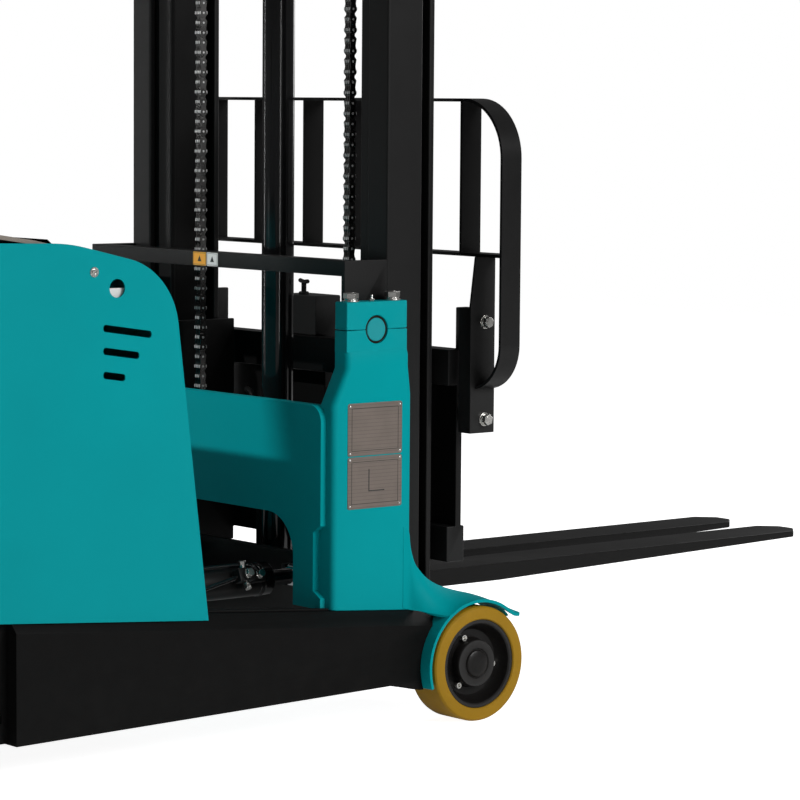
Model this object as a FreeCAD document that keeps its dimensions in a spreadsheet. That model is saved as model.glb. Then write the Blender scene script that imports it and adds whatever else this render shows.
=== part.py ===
"""Counterbalance stacker: a walkie truck with a tilting two-stage mast, built in millimetres.

+X points along the forks, +Y to the truck's left, +Z up.  Every size is worked out from the
mast datum (the ground point midway between the lift chains), and each sub-part's Placement
moves it so that the origin ends up under the middle of the truck.
"""
import FreeCAD
import Part
import Sketcher
import math
import os

SIZES = {
    # wheels and axles
    "wheel_radius": 105, "wheel_width": 76, "wheel_gap": 5, "axle_x": 103.5,
    "tyre_wall": 24, "hub_bore": 20, "axle_clearance": 0.05,
    "drive_x": -1330, "drive_radius": 125, "drive_width": 75,
    "castor_y": 310, "castor_radius": 75, "castor_width": 46, "castor_trail": 40,
    # legs and chassis
    "leg_step": 28, "leg_bottom": 84, "leg_drop": 20, "leg_rear_x": -872,
    "deck_datum_x": -64, "deck_height": 212, "deck_slope": 0.0792, "leg_chamfer": 25,
    "leg_end_x": 60, "shoe_bottom": 60, "shoe_reach": 45, "shoe_round": 40, "shoe_top": 150,
    "plate": 10, "floor_front_x": -480, "floor_rear_x": -1130,
    "belly_bottom": 64, "belly_gap": 9, "body_rear_x": -1560, "mount_bottom": 290, "mount_top": 305,
    "skirt_y": 440, "skirt_wall": 8,
    # towers, portal and bearings
    "side_gap": 6, "tower_wall": 38, "tower_rear_x": -195, "tower_front_x": -21,
    "head_rear_x": -164, "head_front_x": -27, "cap_rise": 50, "trunnion_x": -96, "trunnion_z": 717,
    "bearing_radius": 25, "pin_radius": 20, "pin_recess": 6, "running_gap": 0.05,
    "portal_wall": 24, "portal_step": 12, "portal_top": 585, "window_top": 385, "portal_post": 62,
    "portal_lap": 17, "notch_slope": 12, "portal_corner": 30,
    "window_corner": 75, "notch_depth": 21, "notch_bottom": 243, "notch_top": 372,
    "guard_gap": 7, "guard_wall": 6, "guard_tip_angle": 41, "guard_heel_angle": 118,
    "guard_rise": 87, "guard_dip": 45, "head_step": 117, "head_bevel": 40, "shoulder_drop": 67,
    "arch_gap": 0.8,
    # bodywork
    "panel_y": 460, "sheet": 3, "panel_sink": 10,
    "panel_foot_x": -478, "panel_brow_x": -553, "panel_brow_z": 835,
    "panel_crown_x": -760, "panel_crown_z": 884, "body_top": 893, "lid_front_x": -790,
    "hinge_pin": 5, "hinge_y": 200, "knuckle_wall": 4, "knuckle_length": 100,
    "hinge_ear": 5, "vent_x": -694, "vent_height": 12, "vent_slope": 0.15, "hole_x": -666,
    "hole_z": 808, "hole_radius": 15.5, "cowl_inset": 12, "cowl_top": 877, "brow_round": 130,
    "crown_round": 300, "cover_wall": 4, "cover_round": 120, "post_hole": 80,
    "body_back_x": -1150, "cover_top": 640, "battery_top": 797, "battery_front_x": -660,
    "bay_gap": 19, "seat_gap": 0.3,
    # outer mast
    "mast_half_width": 398, "mast_rear_x": -41, "mast_front_x": 39, "rail_web": 8,
    "rail_reach": 58, "rail_flange": 14, "mast_bottom": 100, "mast_top": 2100,
    "bar_rear_x": -137.5, "bar_depth": 30, "bar_height": 28, "bar_rise": 93, "bracket_wall": 10,
    "cylinder_x": 16, "cylinder_radius": 30.5, "cylinder_bore": 26, "cylinder_drop": 450,
    "rod_radius": 22.5, "rod_foot": 185,
    # inner mast
    "beam_gap": 4, "beam_lip": 28, "inner_rear_x": -22, "inner_front_x": 95,
    "inner_web": 12, "inner_flange": 12, "inner_bottom": 190, "inner_rise": 68, "crosshead": 40,
    "chain_x": 4, "chain_width": 18, "chain_depth": 18, "sheave_radius": 45, "sheave_drop": 25,
    "anchor_z": 1440, "anchor_height": 60, "load_anchor_z": 480, "anchor_half": 15,
    "chain_inset": 46, "head_tie_drop": 150,
    # carriage and forks
    "roller_gap": 10, "carriage_plate_wall": 8, "bar_x": 120, "bar_face_x": 161,
    "carriage_half_width": 380, "end_plate_x": 140, "end_plate_wall": 14, "end_plate_width": 175,
    "ear_wall": 12, "ear_reach": 13, "ear_top": 745, "rest_bolt_x": 159, "rest_bolt_z": 543,
    "rest_bolt_pitch": 178, "rest_pin": 12, "rest_foot_z": 518, "angle_x": 125, "angle_width": 34,
    "angle_top": 747, "angle_brow_x": 137, "low_bar_bottom": 276, "low_bar_top": 342,
    "high_bar_bottom": 602, "high_bar_top": 668, "carriage_top": 705,
    "fork_y": 95, "fork_width": 110, "fork_face_x": 200, "fork_tip_x": 1308,
    "fork_top": 222, "fork_heel": 188, "fork_tip_bottom": 210, "shank_top": 745,
    # load backrest
    "rest_rear_x": 137, "rest_front_x": 183, "flat_bar": 6, "rest_half_width": 505,
    "rest_top": 1126, "rest_foot": 599, "rest_rise": 0.2217, "rest_corner": 108, "rest_curl": 84,
    "strap_z": 840, "bracket_y": 430, "spoke_pitch": 156,
    # tilt cylinders
    "tilt_z": 250, "tilt_rear_x": -600, "tilt_eye_x": -86, "tilt_radius": 30,
    "tilt_rod_radius": 15, "tilt_pin_radius": 12, "tilt_y": 200, "ear_gap": 26, "ear_plate": 12,
    "tilt_base": 44, "tilt_gland": 75, "tilt_eye": 24, "rod_insert": 300, "eye_clearance": 3,
    # drive end
    "swing_hole": 95, "flange_radius": 130, "flange_height": 20, "motor_radius": 75,
    "gearbox_radius": 90, "gearbox_near": 43, "gearbox_far": 80, "gearbox_half": 60,
    "gearbox_bottom": 65, "wheel_room": 8, "castor_stem": 16, "castor_pin": 10,
    "castor_cheek": 8, "castor_room": 6, "castor_half": 25, "castor_bearing": 40,
    "castor_plate": 12, "weight_near": 200, "weight_far": 430, "weight_top": 600,
    "weight_rear_x": -1420, "weight_front_x": -1170,
    # tiller
    "neck_radius": 60, "neck_depth": 16, "post_drop": 66, "post_half": 30, "cheek_y": 28,
    "cheek_wall": 12, "arm_half": 22, "arm_depth": 24, "head_height": 130, "head_bottom": 45,
    "head_top": 30, "grip_y": 45, "grip_wall": 22, "grip_bottom": 95, "grip_top": 35,
    "post_top": 720, "tiller_z": 700, "tiller_top": 1255, "tiller_width": 220,
}

doc = FreeCAD.newDocument("stacker")
sheet = doc.addObject("Spreadsheet::Sheet", "sizes")
for row, (alias, value) in enumerate(SIZES.items(), start=1):
    sheet.set("A%d" % row, alias.replace("_", " "))
    sheet.set("B%d" % row, str(value))
    sheet.setAlias("B%d" % row, alias)
doc.recompute()


class Term:
    """A number together with the sheet expression that gives it."""

    def __init__(self, value, text):
        self.value = float(value)
        self.text = text

    @staticmethod
    def of(thing):
        return thing if isinstance(thing, Term) else Term(thing, "%.6f" % thing)

    def combine(self, other, sign, value):
        return Term(value, "(%s %s %s)" % (self.text, sign, other.text))

    def __add__(self, other):
        other = Term.of(other)
        return self.combine(other, "+", self.value + other.value)

    def __sub__(self, other):
        other = Term.of(other)
        return self.combine(other, "-", self.value - other.value)

    def __mul__(self, other):
        other = Term.of(other)
        return self.combine(other, "*", self.value * other.value)

    def __truediv__(self, other):
        other = Term.of(other)
        return self.combine(other, "/", self.value / other.value)

    def __radd__(self, other):
        return Term.of(other) + self

    def __rsub__(self, other):
        return Term.of(other) - self

    def __rmul__(self, other):
        return Term.of(other) * self

    def __neg__(self):
        return Term.of(-1) * self


class Sheet:
    """Gives each named size of the spreadsheet as a Term."""

    def __getattr__(self, alias):
        return Term(sheet.get(alias), "sizes." + alias)


S = Sheet()
SHIFT = -1 * (S.body_rear_x + S.fork_tip_x) / 2
subparts = []


def finish(obj, label):
    """Name a finished sub-part and move it from the mast datum to the truck's own origin."""
    obj.Label = label
    obj.setExpression("Placement.Base.x", SHIFT.text)
    subparts.append(obj)
    return obj


def circle(u, v, radius):
    return ("circle", u, v, radius)


def rectangle(low_u, high_u, low_v, high_v):
    return [(low_u, low_v), (high_u, low_v), (high_u, high_v), (low_u, high_v)]


def flip(outline):
    """The same outline mirrored in its first coordinate."""
    return [(-corner[0],) + tuple(corner[1:]) for corner in reversed(outline)]


class Drawing:
    """A sketch on one of a body's origin planes, with every corner tied to the sheet."""

    def __init__(self, body, plane, origin=(0, 0, 0)):
        self.sketch = body.newObject("Sketcher::SketchObject", "Sketch")
        role = plane + "_Plane"
        support = [o for o in body.Origin.OriginFeatures if o.Role == role][0]
        self.sketch.AttachmentSupport = [(support, "")]
        self.sketch.MapMode = "FlatFace"
        for axis, place in zip("xyz", origin):
            self.sketch.setExpression("AttachmentOffset.Base." + axis, Term.of(place).text)
        self.rules = []
        self.ties = []

    def rule(self, *parts):
        self.rules.append(parts)

    def tie(self, term, *parts):
        term = Term.of(term)
        self.ties.append((len(self.rules), term.text))
        self.rules.append(parts + (term.value,))

    def place(self, index, point, u, v):
        self.tie(u, "DistanceX", -1, 1, index, point)
        self.tie(v, "DistanceY", -1, 1, index, point)

    def add(self, shape):
        if shape[0] == "circle":
            self.add_circle(*shape[1:])
        else:
            self.add_outline(shape)

    def add_circle(self, u, v, radius):
        u, v, radius = Term.of(u), Term.of(v), Term.of(radius)
        centre = FreeCAD.Vector(u.value, v.value, 0)
        index = self.sketch.addGeometry(Part.Circle(centre, FreeCAD.Vector(0, 0, 1), radius.value))
        self.place(index, 3, u, v)
        self.tie(radius, "Radius", index)

    def add_outline(self, corners):
        """Lines between the corners, with an arc at each corner that carries a radius."""
        corners = [[Term.of(part) for part in corner] for corner in corners]
        spots = [FreeCAD.Vector(corner[0].value, corner[1].value, 0) for corner in corners]
        count = len(spots)
        arcs = []
        starts = list(spots)
        ends = list(spots)
        for i, corner in enumerate(corners):
            if len(corner) < 3:
                continue
            back = (spots[i - 1] - spots[i]).normalize()
            ahead = (spots[(i + 1) % count] - spots[i]).normalize()
            half = back.getAngle(ahead) / 2
            reach = corner[2].value / math.tan(half)
            centre = spots[i] + (back + ahead).normalize() * (corner[2].value / math.sin(half))
            ends[i] = spots[i] + back * reach
            starts[i] = spots[i] + ahead * reach
            arcs.append((i, centre, back.cross(ahead).z < 0))
        first = self.sketch.GeometryCount
        for i in range(count):
            self.sketch.addGeometry(Part.LineSegment(starts[i], ends[(i + 1) % count]))
        for i, corner in enumerate(corners):
            if len(corner) < 3:
                self.rule("Coincident", first + (i - 1) % count, 2, first + i, 1)
                self.place(first + i, 1, corner[0], corner[1])
        for i, centre, left_turn in arcs:
            self.add_arc(corners[i], spots[i], centre, ends[i], starts[i], left_turn,
                         first + (i - 1) % count, first + i)

    def add_arc(self, corner, spot, centre, enter, leave, left_turn, line_in, line_out):
        def angle_of(point):
            return math.atan2(point.y - centre.y, point.x - centre.x)

        low, high = (enter, leave) if left_turn else (leave, enter)
        first_angle = angle_of(low)
        last_angle = angle_of(high)
        if last_angle < first_angle:
            last_angle += 2 * math.pi
        ring = Part.Circle(centre, FreeCAD.Vector(0, 0, 1), corner[2].value)
        arc = self.sketch.addGeometry(Part.ArcOfCircle(ring, first_angle, last_angle))
        mark = self.sketch.addGeometry(Part.Point(spot), True)
        self.rule("Tangent", line_in, 2, arc, 1 if left_turn else 2)
        self.rule("Tangent", line_out, 1, arc, 2 if left_turn else 1)
        self.place(mark, 1, corner[0], corner[1])
        self.rule("PointOnObject", mark, 1, line_in)
        self.rule("PointOnObject", mark, 1, line_out)
        self.tie(corner[2], "Radius", arc)

    def close(self):
        self.sketch.addConstraint([Sketcher.Constraint(*parts) for parts in self.rules])
        for index, text in self.ties:
            self.sketch.setExpression("Constraints[%d]" % index, text)
        return self.sketch


class Piece:
    """One sub-part as a PartDesign body."""

    def __init__(self, label):
        self.label = label
        self.body = doc.addObject("PartDesign::Body", label)
        self.body.AllowCompound = True
        self.cuts = []

    def drawing(self, plane, low, high, shapes):
        """Sketch the shapes on the side of the slab that the plane's normal leaves."""
        low, high = Term.of(low), Term.of(high)
        lift = -high if plane == "XZ" else low
        page = Drawing(self.body, plane, (0, 0, lift))
        for shape in shapes:
            page.add(shape)
        return page.close()

    def pad(self, plane, low, high, *shapes):
        """Add the shapes as a slab from low to high along the plane's own axis."""
        feature = self.body.newObject("PartDesign::Pad", "Pad")
        feature.Profile = self.drawing(plane, low, high, shapes)
        feature.setExpression("Length", (Term.of(high) - low).text)
        feature.Refine = True
        return self

    def pocket(self, plane, low, high, *shapes):
        """Cut the shapes out from low to high along the plane's own axis."""
        feature = self.body.newObject("PartDesign::Pocket", "Pocket")
        feature.Profile = self.drawing(plane, low, high, shapes)
        feature.setExpression("Length", (Term.of(high) - low).text)
        feature.Reversed = True
        feature.Refine = True
        self.cuts.append(feature)
        return self

    def turn(self, axis, centre, *shapes, cut=False):
        """Turn shapes of (radius, along) about a line through centre along Y or Z."""
        x, y, z = centre
        plane = {"Y": "XY", "Z": "XZ"}[axis]
        origin = (x, y, z) if axis == "Y" else (x, z, -Term.of(y))
        page = Drawing(self.body, plane, origin)
        for shape in shapes:
            page.add(shape)
        kind = "PartDesign::Groove" if cut else "PartDesign::Revolution"
        feature = self.body.newObject(kind, "Turn")
        feature.Profile = page.close()
        feature.ReferenceAxis = (feature.Profile[0], ["V_Axis"])
        feature.Angle = 360
        if cut:
            self.cuts.append(feature)
        return self

    def chamfer(self, size, *near):
        """Bevel the edges whose middles lie nearest to the given points."""
        return self.dress("PartDesign::Chamfer", "Size", size, near)

    def fillet(self, radius, *near):
        """Round the edges whose middles lie nearest to the given points."""
        return self.dress("PartDesign::Fillet", "Radius", radius, near)

    def dress(self, kind, field, size, near):
        doc.recompute()
        base = self.body.Tip
        names = []
        for point in near:
            spot = FreeCAD.Vector(*[Term.of(part).value for part in point])
            ranked = []
            for number, edge in enumerate(base.Shape.Edges, start=1):
                middle = edge.valueAt((edge.FirstParameter + edge.LastParameter) / 2)
                ranked.append((middle.distanceToPoint(spot), "Edge%d" % number))
            names.append(min(ranked)[1])
        feature = self.body.newObject(kind, "Edge")
        feature.Base = (base, names)
        feature.setExpression(field, Term.of(size).text)
        return self

    def done(self):
        return finish(self.body, self.label)


def deck(x):
    """Height of the sloping deck on top of a leg."""
    return S.deck_height - S.deck_slope * (x - S.deck_datum_x)


def span(side, near, far):
    """Low and high Y of a slab between two distances from the middle, on one side."""
    near, far = Term.of(near), Term.of(far)
    return (near, far) if side > 0 else (-far, -near)


SIDES = (("left", 1), ("right", -1))
VENTS = ((749, 97), (711, 72), (671, 44))
TOWER_INNER_Y = S.mast_half_width + S.side_gap
TOWER_OUTER_Y = TOWER_INNER_Y + S.tower_wall
LEG_INNER_Y = TOWER_INNER_Y + S.plate
LEG_OUTER_Y = TOWER_OUTER_Y + S.leg_step
WHEEL_INNER_Y = LEG_INNER_Y + S.wheel_gap
WHEEL_OUTER_Y = WHEEL_INNER_Y + S.wheel_width
GUARD_OUTER = S.wheel_radius + S.guard_gap + S.guard_wall
BAR_BOTTOM = S.trunnion_z + S.bar_rise
BAR_TOP = BAR_BOTTOM + S.bar_height
RAIL_TIP_Y = S.mast_half_width - S.rail_reach
BEAM_WEB_Y = RAIL_TIP_Y - S.beam_gap
BEAM_OUTER_Y = BEAM_WEB_Y + S.beam_lip
BEAM_INNER_Y = BEAM_WEB_Y - S.inner_web - S.beam_lip
PLATE_Y = BEAM_INNER_Y - S.roller_gap
CHAIN_Y = PLATE_Y - S.carriage_plate_wall - S.chain_inset
INNER_TOP = S.mast_top + S.inner_rise
SHEAVE_Z = S.mast_top - S.sheave_drop
SHEAVE_X = S.chain_x - S.sheave_radius - S.chain_depth / 2
ANCHOR_X = S.chain_x - S.sheave_radius * 2 - S.chain_depth
LID_HINGE_X = S.body_back_x + S.sheet + 14
LID_MIDDLE_Z = S.body_top - 12


# ---------------------------------------------------------------- chassis
def build_legs():
    """Tapered legs with a sloping deck; a plate at the inner side carries the wheel."""
    for name, side in SIDES:
        leg = Piece(name + "_leg")
        low, high = span(side, LEG_INNER_Y, LEG_OUTER_Y)
        leg.pad("XZ", low, high, [
            (S.leg_rear_x, S.leg_bottom - S.leg_drop), (S.leg_end_x, S.leg_bottom),
            (S.leg_end_x, deck(S.leg_end_x)),
            (S.leg_rear_x, deck(S.leg_rear_x))])
        arch = circle(S.axle_x, S.wheel_radius, GUARD_OUTER + S.arch_gap)
        leg.pocket("XZ", low - 1, high + 1, arch)
        middle = (S.leg_rear_x + 44) / 2
        leg.chamfer(S.leg_chamfer, (middle, side * LEG_OUTER_Y, deck(middle)))
        inside_low, inside_high = span(side, LEG_INNER_Y + S.plate, LEG_OUTER_Y - S.plate)
        leg.pocket("XY", S.leg_bottom - S.leg_drop - 1, S.deck_height - S.leg_chamfer - S.plate,
                   rectangle(S.leg_rear_x + S.plate, S.deck_datum_x, inside_low, inside_high))
        low, high = span(side, TOWER_INNER_Y, LEG_INNER_Y)
        leg.pad("XZ", low, high, [
            (S.leg_rear_x, S.leg_bottom), (S.tower_front_x, S.leg_bottom),
            (S.axle_x - S.shoe_reach, S.shoe_bottom),
            (S.axle_x + S.shoe_reach, S.shoe_bottom, S.shoe_round),
            (S.axle_x + S.shoe_reach, S.shoe_top, S.shoe_round),
            (S.axle_x - 60, deck(S.axle_x - 60)), (S.leg_rear_x, deck(S.leg_rear_x))])
        leg.pocket("XZ", low - 1, high + 1, circle(S.axle_x, S.wheel_radius, S.hub_bore))
        leg.done()


def build_axles():
    """Stub axles pressed into the leg plates, one on each side."""
    axles = Piece("front_axles")
    for side in (1, -1):
        low, high = span(side, TOWER_INNER_Y, WHEEL_OUTER_Y - 12)
        axles.pad("XZ", low, high, circle(S.axle_x, S.wheel_radius, S.hub_bore))
    axles.done()


def build_wheels():
    """Load wheels: a dished rim and a thick tread bonded to it."""
    for name, side in SIDES:
        rim_radius = S.wheel_radius - S.tyre_wall
        bore = S.hub_bore + S.axle_clearance
        low, high = span(side, WHEEL_INNER_Y, WHEEL_OUTER_Y)
        tyre = Piece(name + "_front_tyre")
        tyre.pad("XZ", low, high, circle(S.axle_x, S.wheel_radius, S.wheel_radius),
                 circle(S.axle_x, S.wheel_radius, rim_radius))
        tyre.done()
        rim = Piece(name + "_front_rim")
        outer = WHEEL_OUTER_Y - 3
        shape = [(bore, WHEEL_INNER_Y + 2), (rim_radius, WHEEL_INNER_Y + 2), (rim_radius, outer),
                 (rim_radius - 10, outer), (rim_radius - 20, outer - 26), (44, outer - 26),
                 (40, outer - 6), (bore, outer - 6)]
        if side < 0:
            shape = [(corner[0], -Term.of(corner[1])) for corner in reversed(shape)]
        rim.turn("Y", (S.axle_x, 0, S.wheel_radius), shape)
        rim.done()


def build_chassis_frame():
    """Welded rear frame: battery floor, bulkhead, skirts and the drive mounting plate."""
    frame = Piece("chassis_frame")
    inner = TOWER_INNER_Y
    frame.pad("XY", S.leg_bottom, S.leg_bottom + S.plate,
              rectangle(S.floor_rear_x, S.floor_front_x, -inner, inner))
    frame.pad("YZ", S.floor_rear_x, S.floor_rear_x + S.plate,
              rectangle(-inner, inner, S.leg_bottom, S.mount_top))
    frame.pad("XY", S.mount_bottom, S.mount_top, rectangle(
        S.body_rear_x + 10, S.floor_rear_x + S.plate, -S.skirt_y, S.skirt_y))
    for side in (1, -1):
        low, high = span(side, S.skirt_y - S.skirt_wall, S.skirt_y)
        frame.pad("XZ", low, high, rectangle(
            S.body_rear_x + 10, S.leg_rear_x, S.leg_bottom + 30, S.mount_top))
        low, high = span(side, inner - S.plate, S.skirt_y)
        frame.pad("XZ", low, high, rectangle(
            S.leg_rear_x - S.plate, S.leg_rear_x, S.leg_bottom, S.mount_bottom))
    frame.pad("YZ", S.body_rear_x + 10, S.body_rear_x + 20,
              rectangle(-S.skirt_y, S.skirt_y, S.leg_bottom + 30, S.mount_top))
    half = S.ear_gap / 2
    floor = S.leg_bottom + S.plate
    for side in (1, -1):
        for near in (-half - S.ear_plate, half):
            low, high = span(side, S.tilt_y + near, S.tilt_y + near + S.ear_plate)
            frame.pad("XZ", low, high, [
                (S.tilt_rear_x - 45, floor), (S.tilt_rear_x + 60, floor),
                (S.tilt_rear_x + 25, S.tilt_z + 25), (S.tilt_rear_x - 25, S.tilt_z + 25)])
        low, high = span(side, S.tilt_y - half, S.tilt_y + half)
        frame.pad("XZ", low, high, circle(S.tilt_rear_x, S.tilt_z, S.tilt_pin_radius))
    frame.pocket("XY", S.mount_bottom - 1, S.mount_top + 1, circle(S.drive_x, 0, S.swing_hole))
    for side in (1, -1):
        frame.pocket("XY", S.mount_bottom - 1, S.mount_top + 1,
                     circle(
                         S.drive_x, side * S.castor_y, S.castor_stem + S.axle_clearance))
    frame.done()


def build_belly():
    """Pan under the battery floor, ramped up at its front."""
    pan = Piece("belly_pan")
    top = S.leg_bottom
    half = TOWER_INNER_Y - S.belly_gap
    pan.pad("XZ", -half, half, [
        (S.floor_rear_x, S.belly_bottom), (-527, S.belly_bottom + 10), (S.floor_front_x, top - 2),
        (S.floor_front_x, top), (S.floor_rear_x, top)])
    pan.done()


# ---------------------------------------------------------------- towers
def build_towers():
    """Side towers that carry the mast trunnions in split bearings."""
    for name, side in SIDES:
        tower = Piece(name + "_tower")
        low, high = span(side, TOWER_INNER_Y, TOWER_OUTER_Y)
        tower.pad("XZ", low, high, [
            (S.tower_rear_x, deck(S.tower_rear_x)), (S.tower_front_x, deck(S.tower_front_x)),
            (S.tower_front_x, S.trunnion_z - S.head_step),
            (S.head_front_x, S.trunnion_z - S.head_step + S.head_bevel),
            (S.head_front_x, S.trunnion_z), (S.head_rear_x, S.trunnion_z),
            (S.head_rear_x, S.trunnion_z - S.shoulder_drop), (S.tower_rear_x, S.portal_top)])
        tower.pocket("XZ", low - 1, high + 1, circle(S.trunnion_x, S.trunnion_z, S.bearing_radius))
        tower.done()
        cap = Piece(name + "_bearing_cap")
        cap.pad("XZ", low, high, rectangle(
            S.head_rear_x, S.head_front_x, S.trunnion_z, S.trunnion_z + S.cap_rise))
        cap.pocket("XZ", low - 1, high + 1, circle(S.trunnion_x, S.trunnion_z, S.bearing_radius))
        cap.done()


def build_bushes():
    """Bronze bushes held by the split bearings."""
    bushes = Piece("trunnion_bushes")
    for side in (1, -1):
        low, high = span(side, TOWER_INNER_Y, TOWER_OUTER_Y - S.pin_recess)
        bushes.pad("XZ", low, high, circle(S.trunnion_x, S.trunnion_z, S.bearing_radius),
                   circle(S.trunnion_x, S.trunnion_z, S.pin_radius + S.running_gap))
    bushes.done()


def build_portal():
    """Cross plate proud of the towers' rear edges, with a window for the tilt cylinders."""
    plate = Piece("portal_plate")
    edge = TOWER_INNER_Y
    lap = edge + S.portal_lap
    foot = deck(S.tower_rear_x)
    notch = lap - S.notch_depth
    window = edge - S.portal_post
    rise = deck(S.tower_rear_x - S.portal_step)
    proud = [
        (window, S.window_top, S.window_corner), (window, rise), (lap, rise),
        (lap, S.notch_bottom), (notch, S.notch_bottom + S.notch_slope),
        (notch, S.notch_top - S.notch_slope), (lap, S.notch_top),
        (lap, S.portal_top, S.portal_corner)]
    plate.pad("YZ", S.tower_rear_x - S.portal_step, S.tower_rear_x, flip(proud) + proud)
    sunk = [
        (window, S.window_top, S.window_corner), (window, foot), (edge, foot), (edge, S.portal_top)]
    plate.pad("YZ", S.tower_rear_x, S.tower_rear_x - S.portal_step + S.portal_wall, flip(sunk) + sunk)
    plate.done()


def build_guards():
    """Wheel guards: a rim round the wheel and a web that meets the tower."""
    for name, side in SIDES:
        guard = Piece(name + "_wheel_guard")
        inner_radius = S.wheel_radius + S.guard_gap
        low, high = span(side, LEG_INNER_Y, WHEEL_OUTER_Y)
        guard.pad("XZ", low, high, circle(S.axle_x, S.wheel_radius, GUARD_OUTER),
                  circle(S.axle_x, S.wheel_radius, inner_radius))
        reach = GUARD_OUTER + 20
        rise = reach * math.tan(math.radians(SIZES["guard_tip_angle"]))
        guard.pocket("XZ", low - 1, high + 1, [
            (S.axle_x, S.wheel_radius), (S.axle_x - reach, S.wheel_radius - S.guard_dip),
            (S.axle_x - reach, S.wheel_radius - reach), (S.axle_x + reach, S.wheel_radius - reach),
            (S.axle_x + reach, S.wheel_radius + rise)])
        low, high = span(side, TOWER_OUTER_Y - S.guard_wall, TOWER_OUTER_Y)
        crest = S.wheel_radius + GUARD_OUTER
        ring = inner_radius + 1
        heel = math.radians(SIZES["guard_heel_angle"])
        guard.pad("XZ", low, high, [
            (S.tower_front_x, deck(S.tower_front_x)),
            (S.axle_x + ring * math.cos(heel), S.wheel_radius + ring * math.sin(heel)),
            (S.axle_x - 20, crest - 3), (S.axle_x + 30, crest - 1),
            (S.axle_x + 55, crest - 2), (S.tower_front_x + 25, crest + 47, 35),
            (S.tower_front_x, crest + S.guard_rise)])
        guard.done()


# ---------------------------------------------------------------- bodywork
def panel_outline():
    """Side view of the bodywork, from the deck up over the brow to the back."""
    return [(S.body_back_x, deck(S.body_back_x) - S.panel_sink),
            (S.panel_foot_x, deck(S.panel_foot_x) - S.panel_sink),
            (S.panel_brow_x, S.panel_brow_z, S.brow_round),
            (S.panel_crown_x, S.panel_crown_z, S.crown_round),
            (S.body_back_x, S.body_top)]


def build_side_panels():
    """Sheet-steel flanks with three vent slots and a lifting hole."""
    for name, side in SIDES:
        panel = Piece(name + "_side_panel")
        low, high = span(side, S.panel_y - S.sheet, S.panel_y)
        panel.pad("XZ", low, high, panel_outline())
        slots = []
        for top, length in VENTS:
            drop = length * S.vent_slope
            near, far, end = S.vent_x, S.vent_x + length, S.vent_height / 2 - 1
            slots.append([(near, top - S.vent_height, end), (far, top - drop - S.vent_height, end),
                          (far, top - drop, end), (near, top, end)])
        panel.pocket("XZ", low - 1, high + 1, circle(S.hole_x, S.hole_z, S.hole_radius), *slots)
        panel.done()


def build_front_cowl():
    """Bent sheet that closes the front of the bodywork between the flanks."""
    cowl = Piece("front_cowl")
    inset = S.cowl_inset
    round_off = S.brow_round - inset
    inner = S.panel_y - S.sheet
    cowl.pad("XZ", -inner, inner, [
        (S.panel_foot_x - inset, deck(S.panel_foot_x) + 10),
        (S.panel_brow_x - inset, S.panel_brow_z - inset, round_off),
        (S.lid_front_x, S.cowl_top), (S.lid_front_x, S.cowl_top - S.sheet),
        (S.panel_brow_x - inset - S.sheet, S.panel_brow_z - inset - S.sheet, round_off - S.sheet),
        (S.panel_foot_x - inset - S.sheet, deck(S.panel_foot_x) + 10)])
    room = S.tilt_radius + 15
    for side in (1, -1):
        low, high = span(side, S.tilt_y - room, S.tilt_y + room)
        cowl.pocket("YZ", S.panel_foot_x - 60, S.panel_foot_x, rectangle(
            low, high, S.tilt_z - 60, S.tilt_z + room))
    cowl.done()


def build_lid():
    """Battery lid, with two knuckles on a hinge across its rear edge."""
    lid = Piece("battery_lid")
    inner = S.panel_y - S.sheet - 5
    lid.pad("XY", LID_MIDDLE_Z - S.sheet / 2, LID_MIDDLE_Z + S.sheet / 2, rectangle(
        LID_HINGE_X + S.hinge_pin + S.knuckle_wall - 1, S.lid_front_x - 6, -inner, inner))
    for side in (1, -1):
        low, high = span(side, S.hinge_y, S.hinge_y + S.knuckle_length)
        lid.pad("XZ", low, high, circle(LID_HINGE_X, LID_MIDDLE_Z, S.hinge_pin + S.knuckle_wall))
        bore = circle(LID_HINGE_X, LID_MIDDLE_Z, S.hinge_pin + S.seat_gap)
        lid.pocket("XZ", low - 1, high + 1, bore)
    lid.done()


def build_bay_wall():
    """Wall between the battery bay and the drive bay, with the lid's hinge pins."""
    wall = Piece("bay_wall")
    inner = S.panel_y - S.sheet
    wall.pad("YZ", S.body_back_x, S.body_back_x + S.sheet, rectangle(
        -inner, inner, S.mount_top, S.body_top - 3))
    for side in (1, -1):
        first = S.hinge_y - S.hinge_ear - 1
        last = S.hinge_y + S.knuckle_length + 1
        low, high = span(side, first, last + S.hinge_ear)
        wall.pad("XZ", low, high, circle(LID_HINGE_X, LID_MIDDLE_Z, S.hinge_pin))
        for near in (first, last):
            low, high = span(side, near, near + S.hinge_ear)
            wall.pad("XZ", low, high, rectangle(
                S.body_back_x + S.sheet, LID_HINGE_X + S.hinge_pin, LID_MIDDLE_Z - 8,
                LID_MIDDLE_Z + S.hinge_pin))
    wall.done()


def build_battery():
    """Battery block standing on the floor of its bay."""
    battery = Piece("battery")
    half = TOWER_INNER_Y - S.bay_gap
    battery.pad("XY", S.leg_bottom + S.plate, S.battery_top, rectangle(
        S.floor_rear_x + S.plate + 15, S.battery_front_x, -half, half))
    battery.done()


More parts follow.
